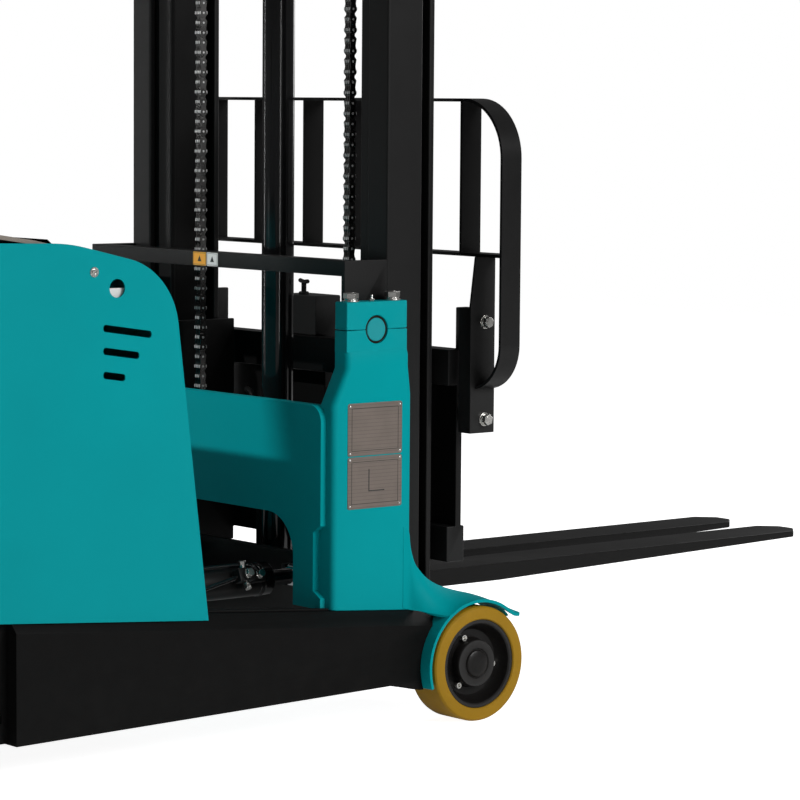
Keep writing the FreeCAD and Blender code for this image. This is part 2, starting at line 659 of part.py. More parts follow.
def build_rear_cover():
    """Moulded cover over the drive unit, with a round opening for the tiller post."""
    cover = Piece("rear_cover")
    edge = S.panel_y
    cover.pad("XY", S.mount_top, S.cover_top, [
        (S.body_rear_x, -edge, S.cover_round), (S.body_back_x, -edge), (S.body_back_x, edge),
        (S.body_rear_x, edge, S.cover_round)])
    wall = S.cover_wall
    cover.pocket("XY", S.mount_top - 1, S.cover_top - wall, [
        (S.body_rear_x + wall, -edge + wall, S.cover_round - wall), (S.body_back_x + 1, -edge + wall),
        (S.body_back_x + 1, edge - wall), (S.body_rear_x + wall, edge - wall, S.cover_round - wall)])
    cover.pocket("XY", S.cover_top - wall - 1, S.cover_top + 1, circle(S.drive_x, 0, S.post_hole))
    cover.done()


def build_counterweight():
    """Cast ballast block beside the drive unit, kept clear of its swing."""
    weight = Piece("counterweight")
    for side in (1, -1):
        low, high = span(side, S.weight_near, S.weight_far)
        weight.pad("XY", S.mount_top, S.weight_top, rectangle(
            S.weight_rear_x, S.weight_front_x, low, high))
    weight.done()


# ---------------------------------------------------------------- drive end
def build_drive_unit():
    """Steered drive: motor and slewing flange above, gearbox beside the wheel."""
    motor = Piece("drive_motor")
    flange_top = S.mount_top + S.flange_height
    motor.pad("XY", S.mount_top + S.seat_gap, flange_top, circle(S.drive_x, 0, S.flange_radius))
    motor.pad("XY", flange_top, S.post_top - S.post_drop, circle(S.drive_x, 0, S.motor_radius))
    motor.done()
    box = Piece("drive_gearbox")
    roof = S.drive_radius * 2 + S.wheel_room
    box.pad("XY", roof, S.mount_top + S.seat_gap, circle(S.drive_x, 0, S.gearbox_radius))
    box.pad("XZ", S.gearbox_near, S.gearbox_far, rectangle(
        S.drive_x - S.gearbox_half, S.drive_x + S.gearbox_half, S.gearbox_bottom, roof))
    box.pocket("XZ", S.gearbox_near - 1, S.gearbox_far + 1, circle(
        S.drive_x, S.drive_radius, S.hub_bore + S.axle_clearance))
    box.done()
    wheel = Piece("drive_wheel")
    half = S.drive_width / 2
    wheel.pad("XZ", -half, half, circle(S.drive_x, S.drive_radius, S.drive_radius))
    wheel.pad("XZ", half, S.gearbox_far, circle(S.drive_x, S.drive_radius, S.hub_bore))
    wheel.done()


def build_castors():
    """Swivelling rear castors: a fork on a stem, and a wheel on its pin."""
    for name, side in SIDES:
        y = side * S.castor_y
        x = S.drive_x - S.castor_trail
        half = S.castor_width / 2
        cheek = half + S.castor_room + S.castor_cheek
        crown = S.castor_radius * 2 + S.castor_room + 2
        fork = Piece(name + "_castor_fork")
        fork.pad("XY", crown, S.mount_bottom - S.seat_gap, circle(S.drive_x, y, S.castor_bearing))
        fork.pad("XY", crown, crown + S.castor_plate, rectangle(
            x - S.castor_half, S.drive_x + S.castor_bearing, y - cheek, y + cheek))
        for near in (y - cheek, y + cheek - S.castor_cheek):
            fork.pad("XZ", near, near + S.castor_cheek, rectangle(
                x - S.castor_half, x + S.castor_half, S.castor_radius - S.castor_half,
                crown + S.castor_plate))
        fork.pocket("XZ", y - cheek - 1, y + cheek + 1, circle(x, S.castor_radius, S.castor_pin))
        fork.pad("XY", S.mount_bottom - S.seat_gap, S.mount_top, circle(
            S.drive_x, y, S.castor_stem))
        fork.done()
        wheel = Piece(name + "_castor_wheel")
        wheel.pad("XZ", y - half, y + half, circle(x, S.castor_radius, S.castor_radius))
        wheel.pad("XZ", y - cheek, y + cheek, circle(
            x, S.castor_radius, S.castor_pin - S.axle_clearance))
        wheel.done()


def build_tiller():
    """Tiller post that turns with the drive, and the arm hinged on it."""
    foot = S.post_top - S.post_drop
    neck = foot + S.neck_depth
    cheek = S.cheek_y + S.cheek_wall
    post = Piece("tiller_post")
    post.pad("XY", foot, neck, circle(S.drive_x, 0, S.neck_radius))
    for near in (-cheek, S.cheek_y):
        post.pad("XZ", near, near + S.cheek_wall, rectangle(
            S.drive_x - S.post_half, S.drive_x + S.post_half, neck, S.tiller_z + S.post_half))
    post.pocket("XZ", -cheek - 1, cheek + 1, circle(
        S.drive_x, S.tiller_z, S.tilt_pin_radius + S.axle_clearance))
    post.done()
    arm = Piece("tiller_arm")
    arm.pad("XZ", -S.arm_half, S.arm_half, rectangle(
        S.drive_x - S.arm_depth, S.drive_x + S.arm_depth, S.tiller_z - 15,
        S.tiller_top - S.head_height))
    arm.pad("XZ", -cheek, cheek, circle(S.drive_x, S.tiller_z, S.tilt_pin_radius))
    arm.done()
    head = Piece("tiller_head")
    half = S.tiller_width / 2
    base = S.tiller_top - S.head_height
    head.pad("XZ", -half, half, [
        (S.drive_x - S.head_bottom, base, 15), (S.drive_x + S.head_bottom, base, 15),
        (S.drive_x + S.head_top, S.tiller_top, 20), (S.drive_x - S.head_top, S.tiller_top, 20)])
    for side in (1, -1):
        near, far = span(side, S.grip_y, half - S.grip_wall)
        head.pocket("YZ", S.drive_x - S.head_bottom - 1, S.drive_x + S.head_bottom + 1, rectangle(
            near, far, S.tiller_top - S.grip_bottom, S.tiller_top - S.grip_top))
    head.done()


# ---------------------------------------------------------------- mast
def rail(outer_y, inner_y, rear_x, front_x, web, flange):
    """Section of a channel rail that opens towards the middle, on the left side."""
    return [(rear_x, outer_y), (rear_x, inner_y), (rear_x + flange, inner_y),
            (rear_x + flange, outer_y - web), (front_x - flange, outer_y - web),
            (front_x - flange, inner_y), (front_x, inner_y), (front_x, outer_y)]


def beam():
    """Section of the inner I-beam on the left side, its web just inside the outer rail."""
    rear, front = S.inner_rear_x, S.inner_front_x
    flange = S.inner_flange
    web = BEAM_WEB_Y - S.inner_web
    return [(rear, BEAM_OUTER_Y), (rear, BEAM_INNER_Y), (rear + flange, BEAM_INNER_Y),
            (rear + flange, web), (front - flange, web), (front - flange, BEAM_INNER_Y),
            (front, BEAM_INNER_Y), (front, BEAM_OUTER_Y), (front - flange, BEAM_OUTER_Y),
            (front - flange, BEAM_WEB_Y), (rear + flange, BEAM_WEB_Y), (rear + flange, BEAM_OUTER_Y)]


def mirror_y(outline):
    """The same outline mirrored in its second coordinate."""
    return [(corner[0], -Term.of(corner[1])) for corner in reversed(outline)]


def build_outer_mast():
    """Outer rails, and the cross members with the chain anchors and the tilt lugs."""
    section = rail(S.mast_half_width, RAIL_TIP_Y, S.mast_rear_x,
                   S.mast_front_x, S.rail_web, S.rail_flange)
    rails = Piece("outer_rails")
    rails.pad("XY", S.mast_bottom, S.mast_top, section, mirror_y(section))
    rails.done()
    ties = Piece("mast_cross_members")
    reach = S.mast_half_width
    back = S.mast_rear_x - 14
    foot_top = S.tilt_z + 35
    head_top = S.mast_top - S.head_tie_drop
    for low, high in ((S.mast_bottom + 10, foot_top), (S.anchor_z - S.anchor_height, S.anchor_z),
                      (head_top - S.anchor_height, head_top)):
        ties.pad("YZ", back, S.mast_rear_x, rectangle(-reach, reach, low, high))
    ties.pad("XY", S.mast_bottom, S.mast_bottom + 12, rectangle(
        back, S.mast_front_x, -RAIL_TIP_Y, RAIL_TIP_Y))
    for side in (1, -1):
        low, high = span(side, CHAIN_Y - S.anchor_half, CHAIN_Y + S.anchor_half)
        ties.pad("XY", S.anchor_z - S.anchor_height, S.anchor_z, rectangle(
            ANCHOR_X - S.chain_depth / 2, back, low, high))
    half = S.ear_gap / 2
    for side in (1, -1):
        for near in (-half - S.ear_plate, half):
            low, high = span(side, S.tilt_y + near, S.tilt_y + near + S.ear_plate)
            ties.pad("XZ", low, high, rectangle(
                S.tilt_eye_x - 20, back, S.tilt_z - 20, S.tilt_z + 20))
        low, high = span(side, S.tilt_y - half, S.tilt_y + half)
        ties.pad("XZ", low, high, circle(S.tilt_eye_x, S.tilt_z, S.tilt_pin_radius))
    ties.done()


def build_trunnion_frame():
    """Rear cross bar and the side brackets whose pins turn in the towers."""
    reach = S.mast_half_width
    frame = Piece("trunnion_frame")
    frame.pad("YZ", S.bar_rear_x, S.bar_rear_x + S.bar_depth, rectangle(
        -reach, reach, BAR_BOTTOM, BAR_TOP))
    for side in (1, -1):
        low, high = span(side, reach - S.bracket_wall, reach)
        frame.pad("XZ", low, high, [
            (S.bar_rear_x, BAR_TOP), (S.bar_rear_x, S.trunnion_z - 17),
            (S.trunnion_x, S.trunnion_z - 45), (S.mast_rear_x, S.trunnion_z - 45),
            (S.mast_rear_x, BAR_TOP)])
        low, high = span(side, reach, TOWER_OUTER_Y - S.pin_recess)
        frame.pad("XZ", low, high, circle(S.trunnion_x, S.trunnion_z, S.pin_radius))
    frame.done()


def build_lift_cylinder():
    """Centre lift cylinder: a tube with a gland that guides the rod."""
    barrel = Piece("lift_cylinder")
    foot = S.mast_bottom + 12
    top = S.mast_top - S.cylinder_drop
    barrel.turn("Z", (S.cylinder_x, 0, 0), [
        (0, foot), (S.cylinder_radius, foot), (S.cylinder_radius, top),
        (S.rod_radius + S.running_gap, top),
        (S.rod_radius + S.running_gap, top - 60),
        (S.cylinder_bore, top - 60), (S.cylinder_bore, foot + 3), (0, foot + 3)])
    barrel.done()
    rod = Piece("lift_rod")
    rod.pad("XY", S.rod_foot, INNER_TOP - 40, circle(S.cylinder_x, 0, S.rod_radius))
    rod.done()


def build_inner_mast():
    """Inner I-beams on rollers, tied by the crosshead that the rod pushes."""
    section = beam()
    rails = Piece("inner_rails")
    rails.pad("XY", S.inner_bottom, INNER_TOP - S.crosshead, section, mirror_y(section))
    rails.done()
    head = Piece("inner_crosshead")
    reach = RAIL_TIP_Y - S.beam_gap - 1
    head.pad("XY", INNER_TOP - S.crosshead, INNER_TOP, rectangle(
        S.inner_rear_x, S.inner_front_x, -reach, reach))
    for side in (1, -1):
        low, high = span(side, CHAIN_Y - S.anchor_half - 5, CHAIN_Y + S.anchor_half + 5)
        head.pad("XY", INNER_TOP - S.crosshead, INNER_TOP, rectangle(
            SHEAVE_X - 25, S.inner_rear_x, low, high))
    head.done()
    rollers = Piece("inner_mast_rollers")
    middle_x = (S.mast_rear_x + S.mast_front_x) / 2
    radius = (S.mast_front_x - S.mast_rear_x) / 2 - S.rail_flange - 0.5
    for side in (1, -1):
        for z in (S.inner_bottom + 50, S.inner_bottom + 450):
            low, high = span(side, BEAM_OUTER_Y + 2, S.mast_half_width - S.rail_web - 2)
            rollers.pad("XZ", low, high, circle(middle_x, z, radius))
            low, high = span(side, BEAM_WEB_Y, BEAM_OUTER_Y + 2)
            rollers.pad("XZ", low, high, circle(middle_x, z, 7))
    rollers.done()


def build_chains():
    """Sheaves on the crosshead and the two strands of each leaf chain."""
    sheaves = Piece("chain_sheaves")
    for side in (1, -1):
        y = side * CHAIN_Y
        half = S.chain_width / 2 + 1
        sheaves.pad("XZ", y - half, y + half, circle(
            SHEAVE_X, SHEAVE_Z, S.sheave_radius - S.seat_gap))
        for near in (y - half - 7, y + half):
            sheaves.pad("XZ", near, near + 7, rectangle(
                SHEAVE_X - 14, SHEAVE_X + 14, SHEAVE_Z - 14, INNER_TOP - S.crosshead))
    sheaves.done()
    for label, at, foot in (("chain_anchor_strands", ANCHOR_X, S.anchor_z),
                            ("chain_load_strands", S.chain_x, S.load_anchor_z)):
        strands = Piece(label)
        for side in (1, -1):
            low, high = span(side, CHAIN_Y - S.chain_width / 2, CHAIN_Y + S.chain_width / 2)
            strands.pad("XY", foot, SHEAVE_Z, rectangle(
                at - S.chain_depth / 2, at + S.chain_depth / 2, low, high))
        strands.done()


# ---------------------------------------------------------------- carriage
def build_carriage():
    """Fork carriage: roller plates, two fork bars and end plates."""
    carriage = Piece("carriage")
    half = S.carriage_half_width
    for low, high in ((S.low_bar_bottom, S.low_bar_top), (S.high_bar_bottom, S.high_bar_top)):
        carriage.pad("YZ", S.bar_x, S.bar_face_x, rectangle(-half, half, low, high))
    for side in (1, -1):
        low, high = span(side, half - S.end_plate_width, half)
        carriage.pad("YZ", S.end_plate_x, S.end_plate_x + S.end_plate_wall, rectangle(
            low, high, S.low_bar_bottom, S.high_bar_top))
        low, high = span(side, half - S.ear_wall, half)
        carriage.pad("XZ", low, high, rectangle(
            S.rest_bolt_x - S.ear_reach, S.rest_bolt_x + S.ear_reach, S.rest_foot_z, S.ear_top))
        low, high = span(side, PLATE_Y - S.carriage_plate_wall, PLATE_Y)
        carriage.pad("XZ", low, high, rectangle(-20, S.bar_x, 250, S.carriage_top - 15))
        low, high = span(side, CHAIN_Y - S.anchor_half, PLATE_Y)
        carriage.pad("XZ", low, high, rectangle(
            S.chain_x - 12, S.chain_x + 12, S.load_anchor_z - S.anchor_height, S.load_anchor_z))
    carriage.done()
    rollers = Piece("carriage_rollers")
    middle_x = (S.inner_rear_x + S.inner_front_x) / 2
    radius = (S.inner_front_x - S.inner_rear_x) / 2 - S.inner_flange - 0.5
    for side in (1, -1):
        low, high = span(side, PLATE_Y, BEAM_WEB_Y - S.inner_web - 2)
        for z in (320, 620):
            rollers.pad("XZ", low, high, circle(middle_x, z, radius))
    rollers.done()


def build_backrest():
    """Load backrest of flat bar on edge, held by a bracket plate at each side."""
    rest = Piece("load_backrest")
    bar = S.flat_bar
    out = S.rest_half_width
    foot_y = S.bracket_y + bar
    corner_z = S.rest_foot + (out - foot_y) * S.rest_rise
    inner_z = S.rest_foot + bar + (out - bar - foot_y) * S.rest_rise
    right_half = [
        (foot_y, S.rest_foot), (out, corner_z, S.rest_curl), (out, S.rest_top, S.rest_corner)]
    right_inner = [
        (out - bar, S.rest_top - bar, S.rest_corner - bar),
        (out - bar, inner_z, S.rest_curl - bar), (foot_y, S.rest_foot + bar)]
    rest.pad("YZ", S.rest_rear_x, S.rest_front_x,
             right_half + flip(right_half) + flip(right_inner) + right_inner)
    rest.pad("YZ", S.rest_rear_x, S.rest_front_x, rectangle(
        -out + bar, out - bar, S.strap_z, S.strap_z + bar))
    spokes = []
    for step in (-2.5, -1.5, -0.5, 0.5, 1.5, 2.5):
        y = S.spoke_pitch * step
        spokes.append(rectangle(y - bar / 2, y + bar / 2, S.strap_z + bar, S.rest_top - bar))
    rest.pad("YZ", S.rest_rear_x, S.rest_front_x, *spokes)
    rest.done()
    for name, side in SIDES:
        plate = Piece(name + "_backrest_bracket")
        low, high = span(side, S.bracket_y, foot_y)
        plate.pad("XZ", low, high, [
            (S.angle_x, S.rest_foot_z), (S.rest_front_x, S.rest_foot_z),
            (S.rest_front_x, S.strap_z), (S.angle_brow_x, S.strap_z), (S.angle_x, S.angle_top)])
        low, high = span(side, foot_y - S.angle_width, foot_y)
        plate.pad("YZ", S.angle_x, S.angle_x + bar, rectangle(
            low, high, S.rest_foot_z, S.angle_top))
        low, high = span(side, S.carriage_half_width, S.bracket_y)
        pins = []
        for z in (S.rest_bolt_z, S.rest_bolt_z + S.rest_bolt_pitch):
            pins.append(circle(S.rest_bolt_x, z, S.rest_pin))
        plate.pad("XZ", low, high, *pins)
        plate.done()


def build_forks():
    """Forged forks that hang on the carriage bars by their hooks."""
    for name, side in SIDES:
        fork = Piece(name + "_fork")
        low, high = span(side, S.fork_y - S.fork_width / 2, S.fork_y + S.fork_width / 2)
        back = S.bar_face_x + S.seat_gap
        fork.pad("XZ", low, high, [
            (back, S.fork_heel, 20), (450, S.fork_heel), (S.fork_tip_x, S.fork_tip_bottom),
            (S.fork_tip_x, S.fork_top), (S.fork_face_x, S.fork_top, 20),
            (S.fork_face_x, S.shank_top), (S.bar_x + 18, S.shank_top),
            (S.bar_x + 18, S.high_bar_top + S.seat_gap), (back, S.high_bar_top + S.seat_gap)])
        fork.pad("XZ", low, high, rectangle(
            S.bar_x + 18, back, S.low_bar_bottom - 26, S.low_bar_bottom - S.seat_gap))
        fork.chamfer(35, (S.fork_tip_x, low, S.fork_top - 6), (S.fork_tip_x, high, S.fork_top - 6))
        fork.done()


# ---------------------------------------------------------------- tilt cylinders
def build_tilt_cylinders():
    """Tilt cylinders between the floor brackets and the foot of the mast."""
    half = S.ear_gap / 2
    start = S.tilt_rear_x + S.tilt_base
    end = S.tilt_eye_x - S.tilt_gland
    for name, side in SIDES:
        y = side * S.tilt_y
        barrel = Piece(name + "_tilt_barrel")
        barrel.pad("YZ", start, end, circle(y, S.tilt_z, S.tilt_radius))
        barrel.pocket("YZ", start + 16, end + 1, circle(
            y, S.tilt_z, S.tilt_rod_radius + S.running_gap))
        low, high = span(side, S.tilt_y - half + 1, S.tilt_y + half - 1)
        barrel.pad("XZ", low, high, rectangle(
            S.tilt_rear_x - 20, start, S.tilt_z - 20, S.tilt_z + 20))
        barrel.pocket("XZ", low - 1, high + 1, circle(
            S.tilt_rear_x, S.tilt_z, S.tilt_pin_radius + S.running_gap))
        barrel.done()
        rod = Piece(name + "_tilt_rod")
        rod.pad("YZ", S.tilt_eye_x - S.rod_insert, S.tilt_eye_x - S.tilt_eye + 2, circle(
            y, S.tilt_z, S.tilt_rod_radius))
        rod.pad("XZ", low, high, circle(S.tilt_eye_x, S.tilt_z, S.tilt_eye))
        rod.pocket("XZ", low - 1, high + 1, circle(
            S.tilt_eye_x, S.tilt_z, S.tilt_pin_radius + S.eye_clearance))
        rod.done()


def build_all():
    build_legs()
    build_axles()
    build_wheels()
    build_chassis_frame()
    build_belly()
    build_towers()
    build_bushes()
    build_portal()
    build_guards()
    build_side_panels()
    build_front_cowl()
    build_lid()
    build_bay_wall()
    build_battery()
    build_rear_cover()
    build_counterweight()
    build_drive_unit()
    build_castors()
    build_tiller()
    build_outer_mast()
    build_trunnion_frame()
    build_lift_cylinder()
    build_inner_mast()
    build_chains()
    build_carriage()
    build_backrest()
    build_forks()
    build_tilt_cylinders()


def check_document():
    """Stop if any object failed, any cut removed nothing, or any sub-part has no sound shape."""
    for obj in doc.Objects:
        if "Invalid" in obj.State or "Error" in obj.State:
            raise RuntimeError("failed object: %s in %s %s" % (obj.Name, obj.Label, obj.State))
        if obj.TypeId in ("PartDesign::Pocket", "PartDesign::Groove"):
            before = obj.BaseFeature.Shape.Volume
            if obj.Shape.Volume >= before - 1:
                raise RuntimeError("a cut removed nothing: %s of %s" % (
                    obj.Name, obj.getParentGeoFeatureGroup().Label))
    for obj in subparts:
        if obj.Shape.isNull() or not obj.Shape.isValid() or not obj.Shape.Solids:
            raise RuntimeError("bad shape: " + obj.Label)


build_all()
doc.recompute()
check_document()
os.makedirs("parts", exist_ok=True)
for obj in subparts:
    obj.Shape.exportStep("parts/%s.step" % obj.Label)
    box = obj.Shape.BoundBox
    print("%-24s %2d solids  %9.1f cm3  x %7.1f %7.1f  y %7.1f %7.1f  z %7.1f %7.1f" % (
        obj.Label, len(obj.Shape.Solids), obj.Shape.Volume / 1000,
        box.XMin, box.XMax, box.YMin, box.YMax, box.ZMin, box.ZMax))
print("%d sub-parts" % len(subparts))
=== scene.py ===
"""Looks of the counterbalance stacker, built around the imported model."""

import logging
import math
from collections.abc import Callable, Iterable, Sequence
from dataclasses import dataclass
from enum import Enum
from typing import Any, Union

import bmesh
import bpy
from mathutils import Matrix, Vector


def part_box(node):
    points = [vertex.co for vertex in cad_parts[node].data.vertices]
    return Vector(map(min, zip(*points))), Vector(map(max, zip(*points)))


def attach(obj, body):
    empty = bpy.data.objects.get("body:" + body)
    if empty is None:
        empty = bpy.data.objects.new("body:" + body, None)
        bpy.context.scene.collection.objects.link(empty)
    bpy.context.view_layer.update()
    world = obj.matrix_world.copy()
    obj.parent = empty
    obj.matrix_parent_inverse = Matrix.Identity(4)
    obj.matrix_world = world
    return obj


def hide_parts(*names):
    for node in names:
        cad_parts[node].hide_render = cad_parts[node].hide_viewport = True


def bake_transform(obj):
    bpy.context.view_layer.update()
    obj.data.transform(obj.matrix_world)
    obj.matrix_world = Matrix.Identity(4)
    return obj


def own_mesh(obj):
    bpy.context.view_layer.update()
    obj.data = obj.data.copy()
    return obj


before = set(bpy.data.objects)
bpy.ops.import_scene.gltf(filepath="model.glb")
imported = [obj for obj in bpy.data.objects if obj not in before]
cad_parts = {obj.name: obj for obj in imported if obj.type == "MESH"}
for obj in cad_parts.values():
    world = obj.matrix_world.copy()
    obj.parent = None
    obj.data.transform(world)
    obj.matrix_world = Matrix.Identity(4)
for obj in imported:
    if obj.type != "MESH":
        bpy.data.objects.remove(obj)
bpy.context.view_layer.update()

log = logging.getLogger("stacker")

Point = tuple[float, float, float]
Flat = tuple[float, float]
Colour = tuple[float, float, float]


# ---------------------------------------------------------------- shader maths
def operator(operation: str, swapped: bool = False) -> Callable[["Socket", Any], "Socket"]:
    """Arithmetic method of a socket, which adds one Math node.

    Args:
        operation: Blender's name for the operation.
        swapped: Whether the other value comes first, as in 1 - mask.

    Returns:
        The method.
    """
    def method(self: "Socket", other: Any) -> "Socket":
        """The result's socket."""
        first, second = (other, self) if swapped else (self, other)
        return self.shader.node("ShaderNodeMath", {"operation": operation}, {0: first, 1: second})

    return method


class Socket:
    """One output socket of a material's node tree, with arithmetic that adds Math nodes."""

    def __init__(self, shader: "Shader", output: bpy.types.NodeSocket) -> None:
        """Wrap an output socket.

        Args:
            shader: The shader whose tree holds the socket.
            output: The output socket itself.
        """
        self.shader = shader
        self.output = output

    __add__, __radd__ = operator("ADD"), operator("ADD", True)
    __sub__, __rsub__ = operator("SUBTRACT"), operator("SUBTRACT", True)
    __mul__, __rmul__ = operator("MULTIPLY"), operator("MULTIPLY", True)
    __truediv__, __rtruediv__ = operator("DIVIDE"), operator("DIVIDE", True)
    __pow__, __rpow__ = operator("POWER"), operator("POWER", True)
    __gt__ = operator("GREATER_THAN")

    def limited(self) -> "Socket":
        """This value kept between nought and one."""
        return self.shader.node("ShaderNodeClamp", {}, {0: self})


class Shader:
    """The node tree of one material, with a Principled shader at its end."""

    def __init__(self, name: str) -> None:
        """Start a material.

        Args:
            name: The material's name.
        """
        self.material = bpy.data.materials.new(name)
        self.material.use_nodes = True
        self.tree = self.material.node_tree
        self.surface = self.tree.nodes["Principled BSDF"]
        self.place = self.node("ShaderNodeTexCoord", {}, {}, "Object")

    def node(self, kind: str, settings: dict[str, Any], sockets: dict[Any, Any],
             out: Union[int, str] = 0) -> Socket:
        """Add any node.

        Args:
            kind: The node's Blender type.
            settings: Properties set before the sockets; "stops" fills a colour ramp.
            sockets: Values or links, keyed by input name or number.
            out: Name or number of the output that is wanted.

        Returns:
            The wanted output.
        """
        made = self.tree.nodes.new(kind)
        for key, value in settings.items():
            if key == "stops":
                ramp = made.color_ramp.elements
                while len(ramp) < len(value):
                    ramp.new(0.5)
                for stop, (spot, shade) in zip(ramp, value):
                    stop.position = spot
                    stop.color = (*shade, 1.0)
            else:
                setattr(made, key, value)
        for key, value in sockets.items():
            self.feed(made.inputs[key], value)
        return Socket(self, made.outputs[out])

    def feed(self, target: bpy.types.NodeSocket, value: Any) -> None:
        """Link a socket to an input, or set the input's own value.

        Args:
            target: The input.
            value: A Socket, a number or a tuple.
        """
        if isinstance(value, Socket):
            self.tree.links.new(value.output, target)
        elif isinstance(value, tuple) and len(value) == 3 and target.type == "RGBA":
            target.default_value = (*value, 1.0)
        else:
            target.default_value = value

    def set(self, **sockets: Any) -> None:
        """Feed sockets of the Principled shader, underscores standing for spaces."""
        for key, value in sockets.items():
            self.feed(self.surface.inputs[key.replace("_", " ")], value)

    def noise(self, scale: float, detail: float = 2.0, stretch: Point = (1, 1, 1)) -> Socket:
        """Smooth noise over the truck's own metres.

        Args:
            scale: Repeats per metre.
            detail: Octaves of finer noise.
            stretch: Factor on the scale along each axis.

        Returns:
            Noise from nought to one.
        """
        spot = self.node("ShaderNodeVectorMath", {"operation": "MULTIPLY"}, {0: self.place, 1: stretch})
        return self.node("ShaderNodeTexNoise", {}, {"Vector": spot, "Scale": scale, "Detail": detail})

    def cells(self, scale: float) -> Socket:
        """Distance to the nearest of scattered points, so many per metre."""
        return self.node("ShaderNodeTexVoronoi", {}, {"Vector": self.place, "Scale": scale}, "Distance")

    def tint(self, factor: Any, first: Any, second: Any) -> Socket:
        """Mix two colours.

        Args:
            factor: Share of the second colour.
            first: First colour.
            second: Second colour.

        Returns:
            The mixed colour.
        """
        return self.node("ShaderNodeMix", {"data_type": "RGBA"}, {0: factor, 6: first, 7: second}, 2)

    def edges(self) -> Socket:
        """How far a point stands out on an edge, from nought on the flat to one."""
        return ((self.node("ShaderNodeNewGeometry", {}, {}, "Pointiness") - 0.52) * 9.0).limited()

    def height(self) -> Socket:
        """Height above the ground, in metres."""
        return self.node("ShaderNodeSeparateXYZ", {}, {0: self.place}, 2)

    def relief(self, height: Socket, depth: float, strength: float = 0.5) -> None:
        """Bump the surface.

        Args:
            height: Height map from nought to one.
            depth: The map's full height, in metres.
            strength: Share of the bump that shows.
        """
        self.set(Normal=self.node("ShaderNodeBump", {}, {"Strength": strength, "Distance": depth,
                                                         "Height": height}))


def darker(colour: Colour, factor: float) -> Colour:
    """The colour scaled by a factor."""
    return tuple(min(1.0, part * factor) for part in colour)


# ---------------------------------------------------------------- finishes
@dataclass(frozen=True)
class Finish:
    """A finish: its name, the record's slot that it stands for, and its material."""

    name: str
    slot: str
    colour: Colour
    roughness: float = 0.4
    shine: float = 0.5

    def material(self) -> bpy.types.Material:
        """The finish's material, made once."""
        found = bpy.data.materials.get("finish_" + self.name)
        if found is not None:
            return found
        shader = Shader("finish_" + self.name)
        self.dress(shader)
        return shader.material

    def dress(self, shader: Shader) -> None:
        """Fill in the node tree; each kind of finish has its own.

        Args:
            shader: The shader that is filled in.
        """
        raise NotImplementedError


@dataclass(frozen=True)
class Paint(Finish):
    """Powder coat or enamel, with a fine orange peel and paler edges, partly rubbed wear and partly painted
    highlight.
    """

    peel: float = 0.00006
    peel_scale: float = 420.0
    rub_and_sheen: float = 0.25
    gloss: float = 0.0
    dust: float = 0.0

    def dress(self, shader: Shader) -> None:
        """Orange peel, faint cloudiness, paler edges (partly rubbed wear, partly painted highlight) and a
        little dust low down.

        Args:
            shader: The shader that is filled in.
        """
        cloud = shader.noise(5.0, 3.0)
        base = shader.tint(cloud, darker(self.colour, 0.93), darker(self.colour, 1.07))
        pale = tuple(part * 0.75 + 0.10 for part in self.colour)
        # Paler edges: partly rubbed wear, partly painted highlight along the edges.
        base = shader.tint(shader.edges() * self.rub_and_sheen, base, pale)
        if self.dust:
            low = (1.0 - shader.height() * 3.0).limited() * (shader.noise(28.0, 5.0) ** 2.0) * self.dust
            base = shader.tint(low, base, (0.23, 0.22, 0.20))
        patch = shader.noise(16.0, 4.0)
        shader.set(Base_Color=base, Roughness=self.roughness - 0.05 + patch * 0.10,
                   Coat_Weight=self.gloss, Coat_Roughness=0.08, Specular_IOR_Level=self.shine)
        shader.relief(shader.noise(self.peel_scale, 1.0), self.peel, 0.6)


@dataclass(frozen=True)
class Metal(Finish):
    """Bare or plated metal, drawn or ground along one axis."""

    grain: Point = (1.0, 1.0, 1.0)
    grain_scale: float = 260.0
    depth: float = 0.00003
    grime: float = 0.25
    metallic: float = 1.0

    def dress(self, shader: Shader) -> None:
        """Fine drawn lines, smears that dull the shine, grime, and brighter edges, partly worn metal and
        partly painted highlight.

        Args:
            shader: The shader that is filled in.
        """
        lines = shader.noise(self.grain_scale, 3.0, self.grain)
        smear = shader.noise(22.0, 4.0)
        soil = (smear * 1.6 - 0.5).limited() * self.grime
        base = shader.tint(soil, self.colour, darker(self.colour, 0.35))
        # Brighter edges: partly worn metal, partly painted highlight.
        base = shader.tint(shader.edges() * 0.5, base, darker(self.colour, 1.3))
        shader.set(Base_Color=base, Metallic=self.metallic,
                   Roughness=(self.roughness - 0.06 + lines * 0.08 + soil * 0.3).limited())
        shader.relief(lines, self.depth)


@dataclass(frozen=True)
class Tread(Finish):
    """Cast polyurethane: a waxy solid with faint flow clouds, scuffs and trapped grit."""

    def dress(self, shader: Shader) -> None:
        """Flow clouds, dark scuffs and a fine moulded skin.

        Args:
            shader: The shader that is filled in.
        """
        flow = shader.noise(14.0, 4.0)
        base = shader.tint(flow, darker(self.colour, 0.86), darker(self.colour, 1.12))
        grit = (shader.noise(170.0, 5.0) * 3.0 - 1.75).limited() * 0.35
        base = shader.tint(grit, base, darker(self.colour, 0.4))
        scuff = (shader.noise(36.0, 6.0, (1.0, 0.25, 1.0)) * 3.2 - 1.9).limited() * 0.25
        base = shader.tint(scuff, base, darker(self.colour, 0.55))
        shader.set(Base_Color=base, Roughness=(self.roughness + scuff * 0.4 - 0.03 + flow * 0.06),
                   Subsurface_Weight=0.08, Subsurface_Radius=(0.010, 0.006, 0.002),
                   Specular_IOR_Level=self.shine)
        shader.relief(shader.noise(300.0, 3.0), 0.00012)


